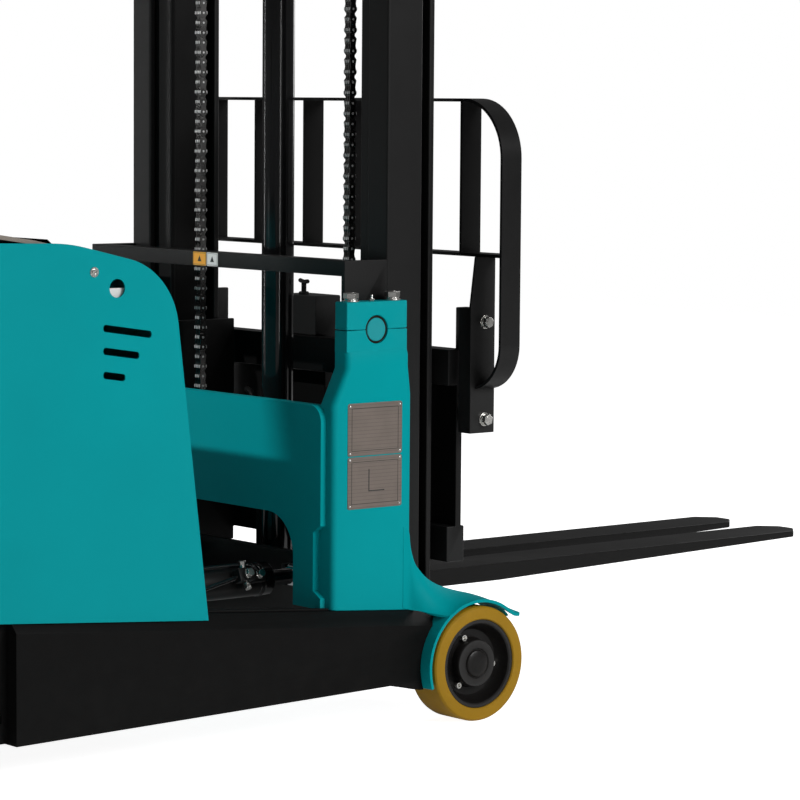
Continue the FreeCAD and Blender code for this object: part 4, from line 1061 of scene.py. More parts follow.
@dataclass
class LoadWheel:
    """Load wheel: urethane tread, dished rim, hub cap and three bolts."""

    tread_round: float = 0.007
    tread_lip: float = 0.002
    bolt_circle: float = 0.050
    bolt_turns: tuple[int, ...] = (112, 232, 352)
    dish_depth: float = 0.027
    guard_gap: float = 0.007
    guard_wall: float = 0.006
    flare_wall: float = 0.0055
    flare_steps: int = 8
    flare_sag: float = 1.7
    flare_root: tuple[Point, ...] = (
        (-0.014, 0.0009, 0.360), (-0.001, 0.0006, 0.352), (0.004, 0.0, 0.322), (0.013, 0.0, 0.295),
        (0.025, 0.0, 0.279), (0.041, 0.0, 0.264), (0.061, 0.0, 0.252), (0.085, 0.0, 0.2425),
        (0.112, 0.002, 0.2345), (0.140, 0.005, 0.2275), (0.168, 0.012, 0.2180), (0.192, 0.024, 0.2070),
        (0.212, 0.038, 0.1960), (0.2225, 0.0500, 0.1905))
    flare_rear: tuple[Point, ...] = (
        (-0.001, 0.4450, 0.2095), (0.012, 0.4560, 0.2075), (0.024, 0.4690, 0.2045), (0.040, 0.4840, 0.2015))
    flare_turns: tuple[int, ...] = (125, 117, 108, 94, 80, 67, 55)
    flare_nose: tuple[Flat, ...] = ((0.0835, 0.0860), (0.0950, 0.0845))

    def build(self) -> None:
        """Build both wheels and their guards."""
        for side in Side:
            self.wheel(side)
            self.guard(side)

    def wheel(self, side: Side) -> None:
        """Build one wheel.

        Args:
            side: Which side.
        """
        sign = side.value
        low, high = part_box(side.part("front_tyre"))
        rim_low, rim_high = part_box(side.part("front_rim"))
        inner, outer = reach_of(low, high)
        back, face = reach_of(rim_low, rim_high)
        radius = (high.z - low.z) / 2
        bore = (rim_high.z - rim_low.z) / 2
        place = facing(((low.x + high.x) / 2, 0, (low.z + high.z) / 2), (0, sign, 0))
        soft = self.tread_round
        curve = [(0, soft), (soft * 0.5, soft * 0.87), (soft * 0.87, soft * 0.5), (soft, 0)]
        tread = [(bore, inner)] + [(radius - soft + du, inner + soft - dv) for du, dv in curve]
        tread.append((radius, outer - soft))
        tread += [(radius - soft + du, outer - soft + dv) for du, dv in curve[-2::-1]]
        tread += [(bore + self.tread_lip, outer), (bore, outer - self.tread_lip), (bore, inner)]
        Shape(side.part("tread")).turned(place, tread, 96).piece(
            URETHANE, side.part("wheel"), stands_for=(side.part("front_tyre"),), smooth=30)
        rim = [(0.020, back), (bore - 0.0002, back), (bore - 0.0002, face - 0.001), (bore - 0.0015, face),
               (bore - 0.006, face), (bore - 0.0085, face - 0.0025), (bore - 0.0105, face - 0.010),
               (bore - 0.016, face - 0.021), (bore - 0.021, face - 0.026), (0.0465, face - self.dish_depth),
               (0.0440, face - 0.024), (0.0430, face - 0.008), (0.0415, face - 0.0055),
               (0.0280, face - 0.0045), (0.0262, face - 0.0060), (0.0250, face - 0.0060),
               (0.0235, face - 0.0035), (0.0205, face - 0.0020), (0.0100, face - 0.0008), (0, face - 0.0006)]
        Shape(side.part("rim")).turned(place, rim, 80).piece(
            RIM_IRON, side.part("wheel"), stands_for=(side.part("front_rim"),), smooth=28)
        bolts = Shape(side.part("rim_bolts"))
        for turn in self.bolt_turns:
            across, along = arc(0, 0, self.bolt_circle, turn, turn, 1)[0]
            spot = place @ Vector((across, along, face - self.dish_depth))
            self.cap_screw(bolts, facing(spot, (0, sign, 0)))
        bolts.piece(ZINC, side.part("wheel"), smooth=30)

    @staticmethod
    def cap_screw(shape: Shape, place: Matrix, radius: float = 0.0062, head: float = 0.009) -> None:
        """Add a socket screw's head, hollow in the middle.

        Args:
            shape: The shape that takes it.
            place: Placement of the head.
            radius: Radius of the head.
            head: Its height.
        """
        shape.turned(place, [(radius, 0), (radius, head * 0.85), (radius * 0.88, head),
                             (radius * 0.52, head), (radius * 0.50, head * 0.45), (0, head * 0.40)], 20)

    def guard(self, side: Side) -> None:
        """Sheet guard that flares from the tower's face out over the wheel.

        Args:
            side: Which side.
        """
        sign = side.value
        tyre_low, tyre_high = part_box(side.part("front_tyre"))
        tower_low, tower_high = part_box(side.part("tower"))
        narrow, wide = reach_of(*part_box(side.part("wheel_guard")))
        narrow += 0.0005
        cx, cz = (tyre_low.x + tyre_high.x) / 2, (tyre_low.z + tyre_high.z) / 2
        ring = (tyre_high.x - tyre_low.x) / 2 + self.guard_gap
        rim = ring + self.guard_wall
        shape = Shape(side.part("guard_arch"))
        for start, near, far in ((198, wide - 0.0330, wide), (158, narrow, wide - 0.0325)):
            arch = arc(cx, cz, rim, start, 60, 44) + arc(cx, cz, ring, 60, start, 44)
            shape.prism(Axis.Y, arch, sign * near, sign * far)
        tail = arc(cx, cz, rim, 61, 42, 8) + arc(cx, cz, ring + 0.002, 42, 61, 8)
        shape.prism(Axis.Y, tail, sign * narrow, sign * (wide - 0.022))
        shape.piece(TEAL, "chassis", 0.0012, 2, (side.part("wheel_guard"),), 30)
        front, face = tower_high.x, reach_of(tower_low, tower_high)[1] - 0.0004
        roots = [(front + x, face + y, z) for x, y, z in self.flare_root]
        edge = [(front - 0.014, face + 0.0012, 0.2130)] + [(front + x, y, z) for x, y, z in self.flare_rear]
        for turn in self.flare_turns:
            x, z = arc(cx, cz, rim, turn, turn, 1)[0]
            edge.append((x, wide, z))
        edge += [(cx + x, wide, cz + z) for x, z in self.flare_nose]
        rows = []
        for inner, outer in zip(roots, edge):
            row = []
            for step in range(self.flare_steps + 1):
                share = step / self.flare_steps
                sag = 1 - (1 - share) ** self.flare_sag
                row.append(Vector((inner[0] + (outer[0] - inner[0]) * share,
                                   sign * (inner[1] + (outer[1] - inner[1]) * share),
                                   inner[2] + (outer[2] - inner[2]) * sag)))
            rows.append(row)
        rows = [list(row) for row in zip(*[smooth_path(line, 3) for line in zip(*rows)])]
        shape = Shape(side.part("guard_flare")).sheet(rows, self.flare_wall, Vector((0, -sign * 0.4, -1)))
        shape.piece(TEAL, "chassis", 0.001, 2, smooth=38)


@dataclass
class Towers:
    """Side towers, their split bearings, bolts, rating plates and the portal between them."""

    shoulder_z: float = 0.680
    shoulder_drop: float = 0.010
    head_inset: float = 0.0032
    corner: float = 0.011
    portal_edge: float = 0.004
    bolt_pitch: float = 0.047
    bush_play: float = 0.0006
    pin_radius: float = 0.020
    split_gap: float = 0.0006
    foot_gap: float = 0.0143
    body_edge: float = 0.0022
    waist: tuple[Flat, ...] = ((0.117, 0.0072), (0.067, 0.0))
    plate_x: Flat = (0.0315, 0.1545)
    plate_z: tuple[tuple[str, float, float], ...] = (("upper", 0.4945, 0.588), ("lower", 0.4000, 0.4925))
    rule_inset: float = 0.0085
    rule_line: float = 0.0009
    mark_at: Flat = (0.047, 0.030)
    mark_size: Flat = (0.036, 0.040)
    mark_line: float = 0.002

    def build(self) -> None:
        """Build both towers and the portal."""
        for side in Side:
            self.tower(side)
            self.cap(side)
        soften("portal_plate", TEAL, "chassis", self.portal_edge, 3)
        self.bushes()
        self.plates()

    def bushes(self) -> None:
        """Bronze bush in each split bearing, with running play round the pin."""
        low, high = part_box("trunnion_bushes")
        radius = (high.x - low.x) / 2 - 0.0002
        inner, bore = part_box("left_tower")[0].y, self.pin_radius + self.bush_play
        shape = Shape("bronze_bushes")
        for sign in (1, -1):
            place = facing(((low.x + high.x) / 2, 0, (low.z + high.z) / 2), (0, sign, 0))
            shape.turned(place, [
                (bore, inner), (radius, inner), (radius, high.y - 0.001), (radius - 0.001, high.y),
                (bore + 0.001, high.y), (bore, high.y - 0.001), (bore, inner)], 64)
        # The bush's near-black finish is partly grease, partly painted shade in the gap round the pin.
        shape.piece(SHADED_BRONZE, "chassis", smooth=30, stands_for=("trunnion_bushes",))

    def section(self, sign: int, rear: float, front: float, outer: float, inner: float,
                z: Callable[[float], float]) -> list[Vector]:
        """One level ring of a tower, its rear outer corner well rounded.

        Args:
            sign: 1 on the left, -1 on the right.
            rear: Rear edge.
            front: Front edge.
            outer: Outer face's distance from the middle.
            inner: Inner face's distance from the middle.
            z: Height as a function of X.

        Returns:
            The ring's points.
        """
        flat = rounded([(front, inner, 0.002), (front, outer, 0.0012), (rear, outer, self.corner),
                        (rear, inner, 0.002)], 5)
        return [Vector((x, sign * y, z(x))) for x, y in flat]

    def tower(self, side: Side) -> None:
        """Build one tower: a body with a shoulder, and a narrower head below the split.

        Args:
            side: Which side.
        """
        sign = side.value
        low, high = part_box(side.part("tower"))
        cap_low, cap_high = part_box(side.part("bearing_cap"))
        inner, outer = reach_of(low, high)
        split, rear, front = cap_low.z, cap_low.x, cap_high.x
        foot = low.z + self.foot_gap

        def deck(x: float) -> float:
            """Height of the leg's deck."""
            return foot - DECK_SLOPE * (x - low.x)

        def level(height: float) -> Callable[[float], float]:
            """A ring at one height."""
            return lambda x: height

        face = outer - self.head_inset
        (waist, lean), (neck, _) = self.waist
        rings = [self.section(sign, start, stop, reach, inner, height) for start, stop, reach, height in (
            (low.x, high.x, outer, deck), (low.x, high.x, outer, level(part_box("portal_plate")[1].z)),
            (low.x + lean, high.x, outer, level(split - waist)), (rear, front, outer, level(split - neck)),
            (rear, front, outer, level(self.shoulder_z - self.shoulder_drop)),
            (rear, front, face, level(self.shoulder_z)))]
        bush_low, bush_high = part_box("trunnion_bushes")
        centre = (bush_low.x + bush_high.x) / 2
        radius = (bush_high.x - bush_low.x) / 2
        shape = Shape(side.part("tower_body")).loft(rings)
        top, start = split - self.split_gap, self.shoulder_z - 0.002
        head = [(rear, start), (front, start), (front, top)]
        head += arc(centre, split, radius, 0, -180, 24) + [(rear, top)]
        shape.prism(Axis.Y, head, sign * inner, sign * face)
        shape.piece(TEAL, "chassis", self.body_edge, 2, (side.part("tower"),), 32)
        seat = split + self.split_gap
        cap = [(rear, seat)] + arc(centre, split, radius, 180, 0, 24)
        cap += [(front, seat), (front, cap_high.z), (rear, cap_high.z)]
        shape = Shape(side.part("cap_body")).prism(Axis.Y, cap, sign * inner, sign * face)
        shape.piece(TEAL, "chassis", self.body_edge, 2, (side.part("bearing_cap"),), 32)

    def cap(self, side: Side) -> None:
        """Bearing cap with two bolts and a grease nipple between them.

        Args:
            side: Which side.
        """
        sign = side.value
        low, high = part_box(side.part("bearing_cap"))
        bush_low, bush_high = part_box("trunnion_bushes")
        middle = (bush_low.x + bush_high.x) / 2
        y = (low.y + high.y) / 2
        bolts = Shape(side.part("cap_bolts"))
        for step in (-self.bolt_pitch, self.bolt_pitch):
            HexBolt().add(bolts, (middle + step, y, high.z), UP)
        bolts.piece(ZINC, "chassis", 0.0004, smooth=25)
        nipple = Shape(side.part("grease_nipple"))
        place = facing((middle, y, high.z), UP)
        nipple.hexagon(place, 0.009, 0.0, 0.004)
        nipple.turned(place, [(0.0028, 0.004), (0.0022, 0.0065), (0.0030, 0.0085), (0.0026, 0.0105),
                              (0.0010, 0.0118), (0, 0.0118)], 16)
        nipple.piece(ZINC, "chassis", smooth=30)
        end = Shape(side.part("trunnion_end"))
        face = reach_of(bush_low, bush_high)[1]
        place = facing((middle, 0, (bush_low.z + bush_high.z) / 2), (0, sign, 0))
        end.turned(place, [(0.0208, face - 0.002), (0.0208, face + 0.0003), (0.0198, face + 0.0012),
                           (0, face + 0.0012)], 48)
        end.piece(HIGH_TEAL, "mast", smooth=30)

    def plates(self) -> None:
        """Two blank rating plates, one above the other, each held by four rivets."""
        low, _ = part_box("right_tower")
        left, right = (low.x + shift for shift in self.plate_x)
        front, back = low.y - 0.0012, low.y - 0.0008
        for label, bottom, top in self.plate_z:
            plate = Shape(label + "_rating_plate")
            plate.prism(Axis.Y, pane((left, bottom), (right, top), 0.004), low.y - 0.0010, low.y + 0.0004)
            plate.piece(PLATE_STEEL, "chassis", 0.0003)
            rivets = Shape(label + "_plate_rivets")
            for x in (left + 0.005, right - 0.005):
                for z in (bottom + 0.005, top - 0.005):
                    rivets.turned(facing((x, low.y - 0.0010, z), (0, -1, 0)),
                                  [(0.0025, 0), (0.0022, 0.0009), (0.0012, 0.0015), (0, 0.0016)], 16)
            rivets.piece(ZINC, "chassis", smooth=50)
            rules = Shape(label + "_plate_rules")
            edge, inner = (pane((left + inset, bottom + inset), (right - inset, top - inset))
                           for inset in (self.rule_inset, self.rule_inset + self.rule_line))
            rules.prism(Axis.Y, edge, front, back, (inner,))
            if label == "lower":
                x, z = left + self.mark_at[0], bottom + self.mark_at[1]
                wide, tall, line = *self.mark_size, self.mark_line
                rules.prism(Axis.Y, [(x, z), (x + wide, z), (x + wide, z + line), (x + line, z + line),
                                     (x + line, z + tall), (x, z + tall)], front, back)
            rules.piece(INK, "chassis")


@dataclass
class Bodywork:
    """Side panels, cowl, lid and rear cover."""

    edge: float = 0.0012
    wall_edge: float = 0.001
    screw_at: Flat = (-0.586, 0.836)
    hole_at: Flat = (-0.540, 0.808)
    hole_radius: float = 0.021
    liner_depth: float = 0.008
    liner_width: float = 0.002
    cover_set_back: float = 0.045
    cover_nose: float = 0.010
    crown: tuple[Flat, ...] = ((0.024, -0.0108), (-0.030, 0.0005), (-0.104, 0.0118), (-0.160, 0.0145))
    crown_height: float = 0.0160
    trim_depth: float = 0.0075
    louvres: int = 6
    louvre_low: float = 0.090
    louvre_pitch: float = 0.024
    louvre_height: float = 0.009
    louvre_inset: float = 0.12
    controls_inset: float = 0.075
    stop_y: float = -0.300
    lock_y: float = -0.220
    gauge_y: Flat = (0.200, 0.300)
    gauge_half: float = 0.030
    collar: tuple[Flat, ...] = (
        (0.030, -0.001), (0.030, 0.004), (0.027, 0.006), (0.014, 0.006), (0.014, 0.012), (0, 0.012))
    button: tuple[Flat, ...] = (
        (0.012, 0.010), (0.012, 0.020), (0.020, 0.023), (0.021, 0.030), (0.018, 0.035), (0.009, 0.038),
        (0, 0.0385))
    lock: tuple[Flat, ...] = (
        (0.016, -0.001), (0.016, 0.003), (0.013, 0.005), (0.011, 0.005), (0.011, 0.009), (0, 0.009))

    def build(self) -> None:
        """Build the sheet-metal and moulded covers."""
        for side in Side:
            soften(side.part("side_panel"), TEAL, "chassis", self.edge)
            self.screw(side)
        soften("front_cowl", TEAL, "chassis", self.wall_edge)
        soften("bay_wall", TEAL, "chassis", self.wall_edge)
        soften("battery_lid", PLASTIC, "lid", self.wall_edge)
        soften("rear_cover", PLASTIC, "chassis", 0.006, 3)
        self.top_cover()
        self.rear_fittings()

    def screw(self, side: Side) -> None:
        """Socket screw and washer near a panel's brow, and the liner of the hole beside it.

        Args:
            side: Which side.
        """
        sign = side.value
        _, face = reach_of(*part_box(side.part("side_panel")))
        x, z = self.screw_at
        place = facing((x, sign * face, z), (0, sign, 0))
        screw = Shape(side.part("panel_screw"))
        screw.turned(place, [(0.0085, -0.0005), (0.0085, 0.0010), (0.0080, 0.0014), (0, 0.0014)], 28)
        LoadWheel.cap_screw(screw, place @ Matrix.Translation((0, 0, 0.0012)), 0.0052, 0.0030)
        screw.piece(ZINC, "chassis", smooth=30)
        inner = face - self.liner_depth
        liner = Shape(side.part("hole_liner"))
        liner.prism(Axis.Y, arc(*self.hole_at, self.hole_radius, 180, 360, 20),
                    sign * (inner - self.liner_width), sign * inner)
        liner.piece(WHITE_LABEL, "chassis", 0.0004)

    def top_cover(self) -> None:
        """Crowned moulded cover on the battery lid, with a tan seal round its edge."""
        low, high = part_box("battery_lid")
        start, foot = low.x + self.cover_set_back, high.z + 0.0003
        crown = [(high.x + x, high.z + z) for x, z in self.crown] + [(start, high.z + self.crown_height)]
        nose = (high.x + self.cover_nose, high.z - self.cover_nose)
        cover = Shape("lid_cover")
        cover.prism(Axis.Y, [(start, foot), (high.x - 0.002, foot), nose, *crown],
                    low.y + 0.001, high.y - 0.001)
        cover.piece(PLASTIC, "lid", 0.002, 3)
        seal = Shape("lid_trim")
        lower = [(x, z - self.trim_depth) for x, z in reversed(crown[1:])]
        for edge, out in ((low.y, -1), (high.y, 1)):
            seal.prism(Axis.Y, [*crown, *lower], edge - out * 0.0015, edge + out * 0.0030)
        seal.piece(TAN_TRIM, "lid", 0.0008)

    def rear_fittings(self) -> None:
        """Side louvres and cover screws of the rear cover, and its controls."""
        low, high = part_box("rear_cover")
        louvres = Shape("rear_cover_louvres")
        screws = Shape("rear_cover_screws")
        rear, front = low.x + self.louvre_inset, high.x - self.louvre_inset
        for sign in (1, -1):
            face = sign * high.y
            for row in range(self.louvres):
                z = low.z + self.louvre_low + row * self.louvre_pitch
                slot = pane((rear, z), (front, z + self.louvre_height), 0.004)
                louvres.prism(Axis.Y, slot, face - sign * 0.001, face + sign * 0.0022)
            for x in (low.x + 0.125, high.x - 0.030):
                for z in (low.z + 0.030, high.z - 0.040):
                    place = facing((x, face, z), (0, sign, 0))
                    screws.turned(place, [(0.009, -0.0005), (0.009, 0.0012), (0, 0.0012)], 24)
                    LoadWheel.cap_screw(screws, place @ Matrix.Translation((0, 0, 0.001)), 0.0055, 0.0035)
        louvres.piece(GRIP, "chassis", 0.0012)
        screws.piece(ZINC, "chassis", smooth=30)
        self.controls(high.x - self.controls_inset, high.z)

    def controls(self, x: float, top: float) -> None:
        """Emergency stop, key switch and charge gauge in a row on the rear cover.

        Args:
            x: The row's place.
            top: Height of the cover's top.
        """
        for name, finish, y, steps, smooth, profile in (
                ("stop_collar", ORANGE_LABEL, self.stop_y, 40, 30, self.collar),
                ("stop_button", KEY_RED, self.stop_y, 40, 50, self.button),
                ("key_switch", ZINC, self.lock_y, 36, 30, self.lock)):
            fitting = Shape(name).turned(facing((x, y, top), UP), profile, steps)
            fitting.piece(finish, "chassis", smooth=smooth)
        key = Shape("ignition_key")
        key.box((x - 0.001, self.lock_y - 0.008, top + 0.008), (x + 0.001, self.lock_y + 0.008, top + 0.030))
        key.piece(STEEL, "chassis", 0.0008)
        near, far = self.gauge_y
        gauge = Shape("charge_gauge")
        gauge.prism(Axis.Z, pane((x - self.gauge_half, near), (x + self.gauge_half, far), 0.008, 5),
                    top - 0.001, top + 0.006)
        gauge.piece(GRIP, "chassis", 0.0015, 3)
        half = self.gauge_half - 0.008
        glass = Shape("gauge_window")
        glass.prism(Axis.Z, pane((x - half, near + 0.010), (x + half, far - 0.010), 0.004),
                    top + 0.0055, top + 0.0066)
        glass.piece(GLOSS_BLACK, "chassis", 0.0003)


@dataclass
class PowerPack:
    """Battery and ballast inside the body."""

    columns: int = 4
    rows: int = 6
    cap_radius: float = 0.013
    link_x: Flat = (-0.030, -0.018)
    link_gap: float = 0.022
    post_gap: float = 0.030

    def build(self) -> None:
        """Dress the battery and the counterweight, and add the cells' caps and links."""
        soften("battery", CELL_GREY, "chassis", 0.006, 3)
        soften("counterweight", GREY_IRON, "chassis", 0.008, 3)
        low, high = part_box("battery")
        caps = Shape("cell_caps")
        links = Shape("cell_links")
        step_x = (high.x - low.x) / self.columns
        step_y = (high.y - low.y) / self.rows
        for i in range(self.columns):
            for j in range(self.rows):
                x, y = low.x + (i + 0.5) * step_x, low.y + (j + 0.5) * step_y
                caps.turned(facing((x, y, high.z), UP), [
                    (self.cap_radius, -0.001), (self.cap_radius, 0.006), (0.011, 0.008), (0.005, 0.008),
                    (0.004, 0.006), (0, 0.006)], 20)
                if j + 1 == self.rows:
                    continue
                near, far = self.link_x
                links.box((x + near, y + self.link_gap, high.z - 0.0005),
                          (x + far, y + step_y - self.link_gap, high.z + 0.005))
                for end in (y + self.post_gap, y + step_y - self.post_gap):
                    links.turned(facing((x + (near + far) / 2, end, high.z + 0.004), UP),
                                 [(0.006, 0), (0.006, 0.005), (0.004, 0.006), (0, 0.006)], 14)
        caps.piece(CELL_CAP, "chassis", smooth=40)
        links.piece(STEEL, "chassis", 0.001)


@dataclass
class DriveEnd:
    """Steered drive, castors and tiller."""

    hub_share: float = 0.42
    nut_flats: float = 0.013
    belly_half: float = 0.030
    belly_rise: float = 0.022
    boot_rings: int = 5
    boot_radius: float = 0.034
    boot_low: float = 0.030
    boot_pitch: float = 0.012
    motor_ribs: int = 6
    motor_bolts: int = 4

    def build(self) -> None:
        """Dress the rear end and add hubs, grips and keys."""
        soften("drive_motor", RIM_IRON, "drive_unit", 0.002)
        soften("drive_gearbox", RIM_IRON, "drive_unit", 0.003)
        soften("tiller_post", PLASTIC, "drive_unit", 0.002)
        soften("drive_wheel", BLACK_RUBBER, "drive_roller", 0.004)
        soften("tiller_arm", PLASTIC, "tiller", 0.004, 3)
        soften("tiller_head", PLASTIC, "tiller", 0.006, 3)
        self.hub("drive_wheel", "drive_roller", 6)
        for side in Side:
            soften(side.part("castor_fork"), RIM_IRON, side.part("castor"), 0.002)
            soften(side.part("castor_wheel"), BLACK_RUBBER, side.part("castor_roller"), 0.004)
            self.hub(side.part("castor_wheel"), side.part("castor_roller"), 0)
        self.head()
        self.motor()

    def hub(self, node: str, body: str, bolts: int) -> None:
        """Add a steel hub plate with wheel nuts to both faces of a wheel.

        Args:
            node: The wheel's CAD node.
            body: The body that it turns with.
            bolts: Number of nuts.
        """
        low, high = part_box(node)
        middle = (low + high) / 2
        radius = (high.z - low.z) / 2
        inner = radius * self.hub_share
        faces = [facing((middle.x, face, middle.z), (0, sign, 0))
                 for face, sign in ((high.y, 1), (low.y, -1))]
        plate = Shape(node + "_hub")
        for place in faces:
            plate.turned(place, [
                (inner, -0.002), (inner, 0.0008), (inner * 0.92, 0.0016), (inner * 0.55, 0.0016),
                (inner * 0.50, 0.0030), (inner * 0.22, 0.0030), (0, 0.0026)], 48)
        plate.piece(STEEL, body, smooth=30)
        if bolts:
            nuts = Shape(node + "_nuts")
            for place in faces:
                for across, along in arc(0, 0, inner * 0.74, 0, 360, bolts)[:-1]:
                    spot = place @ Matrix.Translation((across, along, 0.0012))
                    nuts.hexagon(spot, self.nut_flats, 0, 0.004)
            nuts.piece(ZINC, body, smooth=20)

    def head(self) -> None:
        """Rubber grips, thumb wheels, keys and the belly switch of the tiller head."""
        low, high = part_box("tiller_head")
        middle = (low + high) / 2
        wheels = Shape("travel_thumb_wheels")
        for sign in (1, -1):
            place = facing((high.x - 0.030, sign * 0.022, high.z - 0.006), (0, sign, 0))
            wheels.turned(place, [
                (0, 0), (0.013, 0), (0.015, 0.002), (0.015, 0.012), (0.013, 0.014), (0, 0.014)], 30)
        wheels.piece(KEY_GREY, "tiller", smooth=40)
        for name, finish, y in (("lift_key", KEY_GREEN, 0.0), ("lower_key", KEY_GREY, 0.026),
                                ("horn_key", KEY_RED, -0.026)):
            key = Shape(name).turned(facing((middle.x, y, high.z), UP), [
                (0.0085, -0.001), (0.0085, 0.002), (0.0070, 0.0035), (0, 0.0040)], 26)
            key.piece(finish, "tiller", smooth=40)
        half, rise = self.belly_half, self.belly_rise
        belly = Shape("belly_switch")
        belly.prism(Axis.X, pane((-half, middle.z - rise), (half, middle.z + rise), 0.010, 5),
                    low.x - 0.006, low.x + 0.001)
        belly.piece(KEY_RED, "tiller", 0.002, 3)
        end = high.y
        for side in Side:
            grip = Shape(side.part("grip_sleeve"))
            grip.turned(facing((middle.x, 0, middle.z), (0, side.value, 0)), [
                (0.0001, end - 0.001), (0.016, end - 0.001), (0.018, end + 0.0006), (0.016, end + 0.0020),
                (0, end + 0.0022)], 30)
            grip.piece(GRIP, "tiller", smooth=40)
        boot = Shape("tiller_boot")
        arm_low, arm_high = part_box("tiller_arm")
        centre = (arm_low + arm_high) / 2
        for i in range(self.boot_rings):
            place = facing((centre.x, centre.y, arm_low.z + self.boot_low + i * self.boot_pitch), UP)
            wide = self.boot_radius - i * 0.001
            slim = wide - 0.004
            boot.turned(place, [(0, -0.004), (slim, -0.004), (wide, 0.0), (slim, 0.004), (0, 0.004)], 30)
        boot.piece(GRIP, "tiller", smooth=40)

    def motor(self) -> None:
        """Cooling ribs and terminal bolts of the drive motor."""
        low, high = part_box("drive_motor")
        middle = (low + high) / 2
        radius = min(high.x - low.x, high.y - low.y) / 2
        ribs = Shape("motor_ribs")
        inner, outer = radius - 0.003, radius + 0.0015
        for i in range(self.motor_ribs):
            z = low.z + (high.z - low.z) * (0.2 + 0.11 * i)
            ribs.turned(facing((middle.x, middle.y, z), UP), [
                (inner, -0.0015), (outer, -0.0015), (outer, 0.0015), (inner, 0.0015), (inner, -0.0015)], 48)
        ribs.piece(RIM_IRON, "drive_unit", smooth=30)
        bolts = Shape("motor_bolts")
        for x, y in arc(middle.x, middle.y, radius * 0.7, 45, 405, self.motor_bolts)[:-1]:
            bolts.hexagon(facing((x, y, high.z), UP), 0.010, 0, 0.005)
        bolts.piece(ZINC, "drive_unit", smooth=20)


@dataclass
class LeafChain:
    """Leaf chain: laced link plates on pins painted near white as painted highlight."""

    pitch: float = 0.01905
    half: float = 0.0084
    wall: float = 0.0021
    pin: float = 0.0027
    reach: float = 0.0089
    laces: tuple[tuple[float, ...], ...] = ((-0.0075, -0.0025, 0.0025, 0.0075), (-0.0050, 0.0, 0.0050))
    waist: float = 0.66
    # Outline of the painted highlight patches at each plate edge, beside a pin.
    glint_outline: tuple[Flat, ...] = ((-0.0012, -0.0034), (0.0003, -0.0022), (0.0003, 0.0022), (-0.0012, 0.0034))

    def pins(self, low: Flat, high: Flat) -> list[Vector]:
        """Pin centres, in XZ, of a straight run.

        Args:
            low: First end.
            high: Last end.

        Returns:
            The centres.
        """
        first, last = Vector(low), Vector(high)
        count = max(1, round((last - first).length / self.pitch))
        return [first.lerp(last, i / count) for i in range(count + 1)]

    def link(self, shape: Shape, first: Vector, last: Vector, y: float) -> None:
        """Add one waisted plate between two pins.

        Args:
            shape: Shape that takes the plate.
            first: First pin's centre in XZ.
            last: Last pin's centre.
            y: Middle of the plate.
        """
        along = (last - first).normalized()
        across = Vector((-along.y, along.x))
        outline = []
        for centre, base in ((last, 0.0), (first, math.pi)):
            for step in range(5):
                turn = base + math.radians(-70 + 35 * step)
                spot = centre + (along * math.cos(turn) + across * math.sin(turn)) * self.half
                outline.append((spot.x, spot.y))
            waist = (first + last) / 2 + across * (self.half * self.waist * (1 if base == 0.0 else -1))
            outline.append((waist.x, waist.y))
        shape.prism(Axis.Y, outline, y - self.wall / 2, y + self.wall / 2)

    def glint_patches(self, shape: Shape, first: Vector, last: Vector, y: float) -> None:
        """Painted highlight patches, in the pins' pale finish, on both edges of a plate beside its first pin.

        Args:
            shape: Shape that takes the patches.
            first: First pin's centre in XZ.
            last: Last pin's centre.
            y: Middle of the plate.
        """
        along = (last - first).normalized()
        across = Vector((-along.y, along.x))
        thick = self.wall * 0.42
        for side in (-1, 1):
            spots = [first + across * (side * (self.half + out)) + along * shift for out, shift in self.glint_outline]
            shape.prism(Axis.Y, [(spot.x, spot.y) for spot in spots], y - thick, y + thick)

    def run(self, plates: Shape, pins: Shape, spots: Sequence[Vector], y: float) -> None:
        """Lay plates, pins and painted highlight patches along a row of pin centres.

        Args:
            plates: Shape that takes the plates.
            pins: Shape that takes the pins and the painted highlight patches.
            spots: Pin centres in XZ.
            y: Middle of the chain.
        """
        for i, (first, last) in enumerate(zip(spots, spots[1:])):
            for offset in self.laces[i % 2]:
                self.link(plates, first, last, y + offset)
                self.glint_patches(pins, first, last, y + offset)
        end, neck, head = self.reach, self.reach - 0.0008, self.pin * 0.7
        for spot in spots:
            pins.turned(facing((spot.x, y, spot.y), (0, 1, 0)), [
                (0, -end), (head, -end), (self.pin, -neck), (self.pin, neck), (head, end), (0, end)], 10)


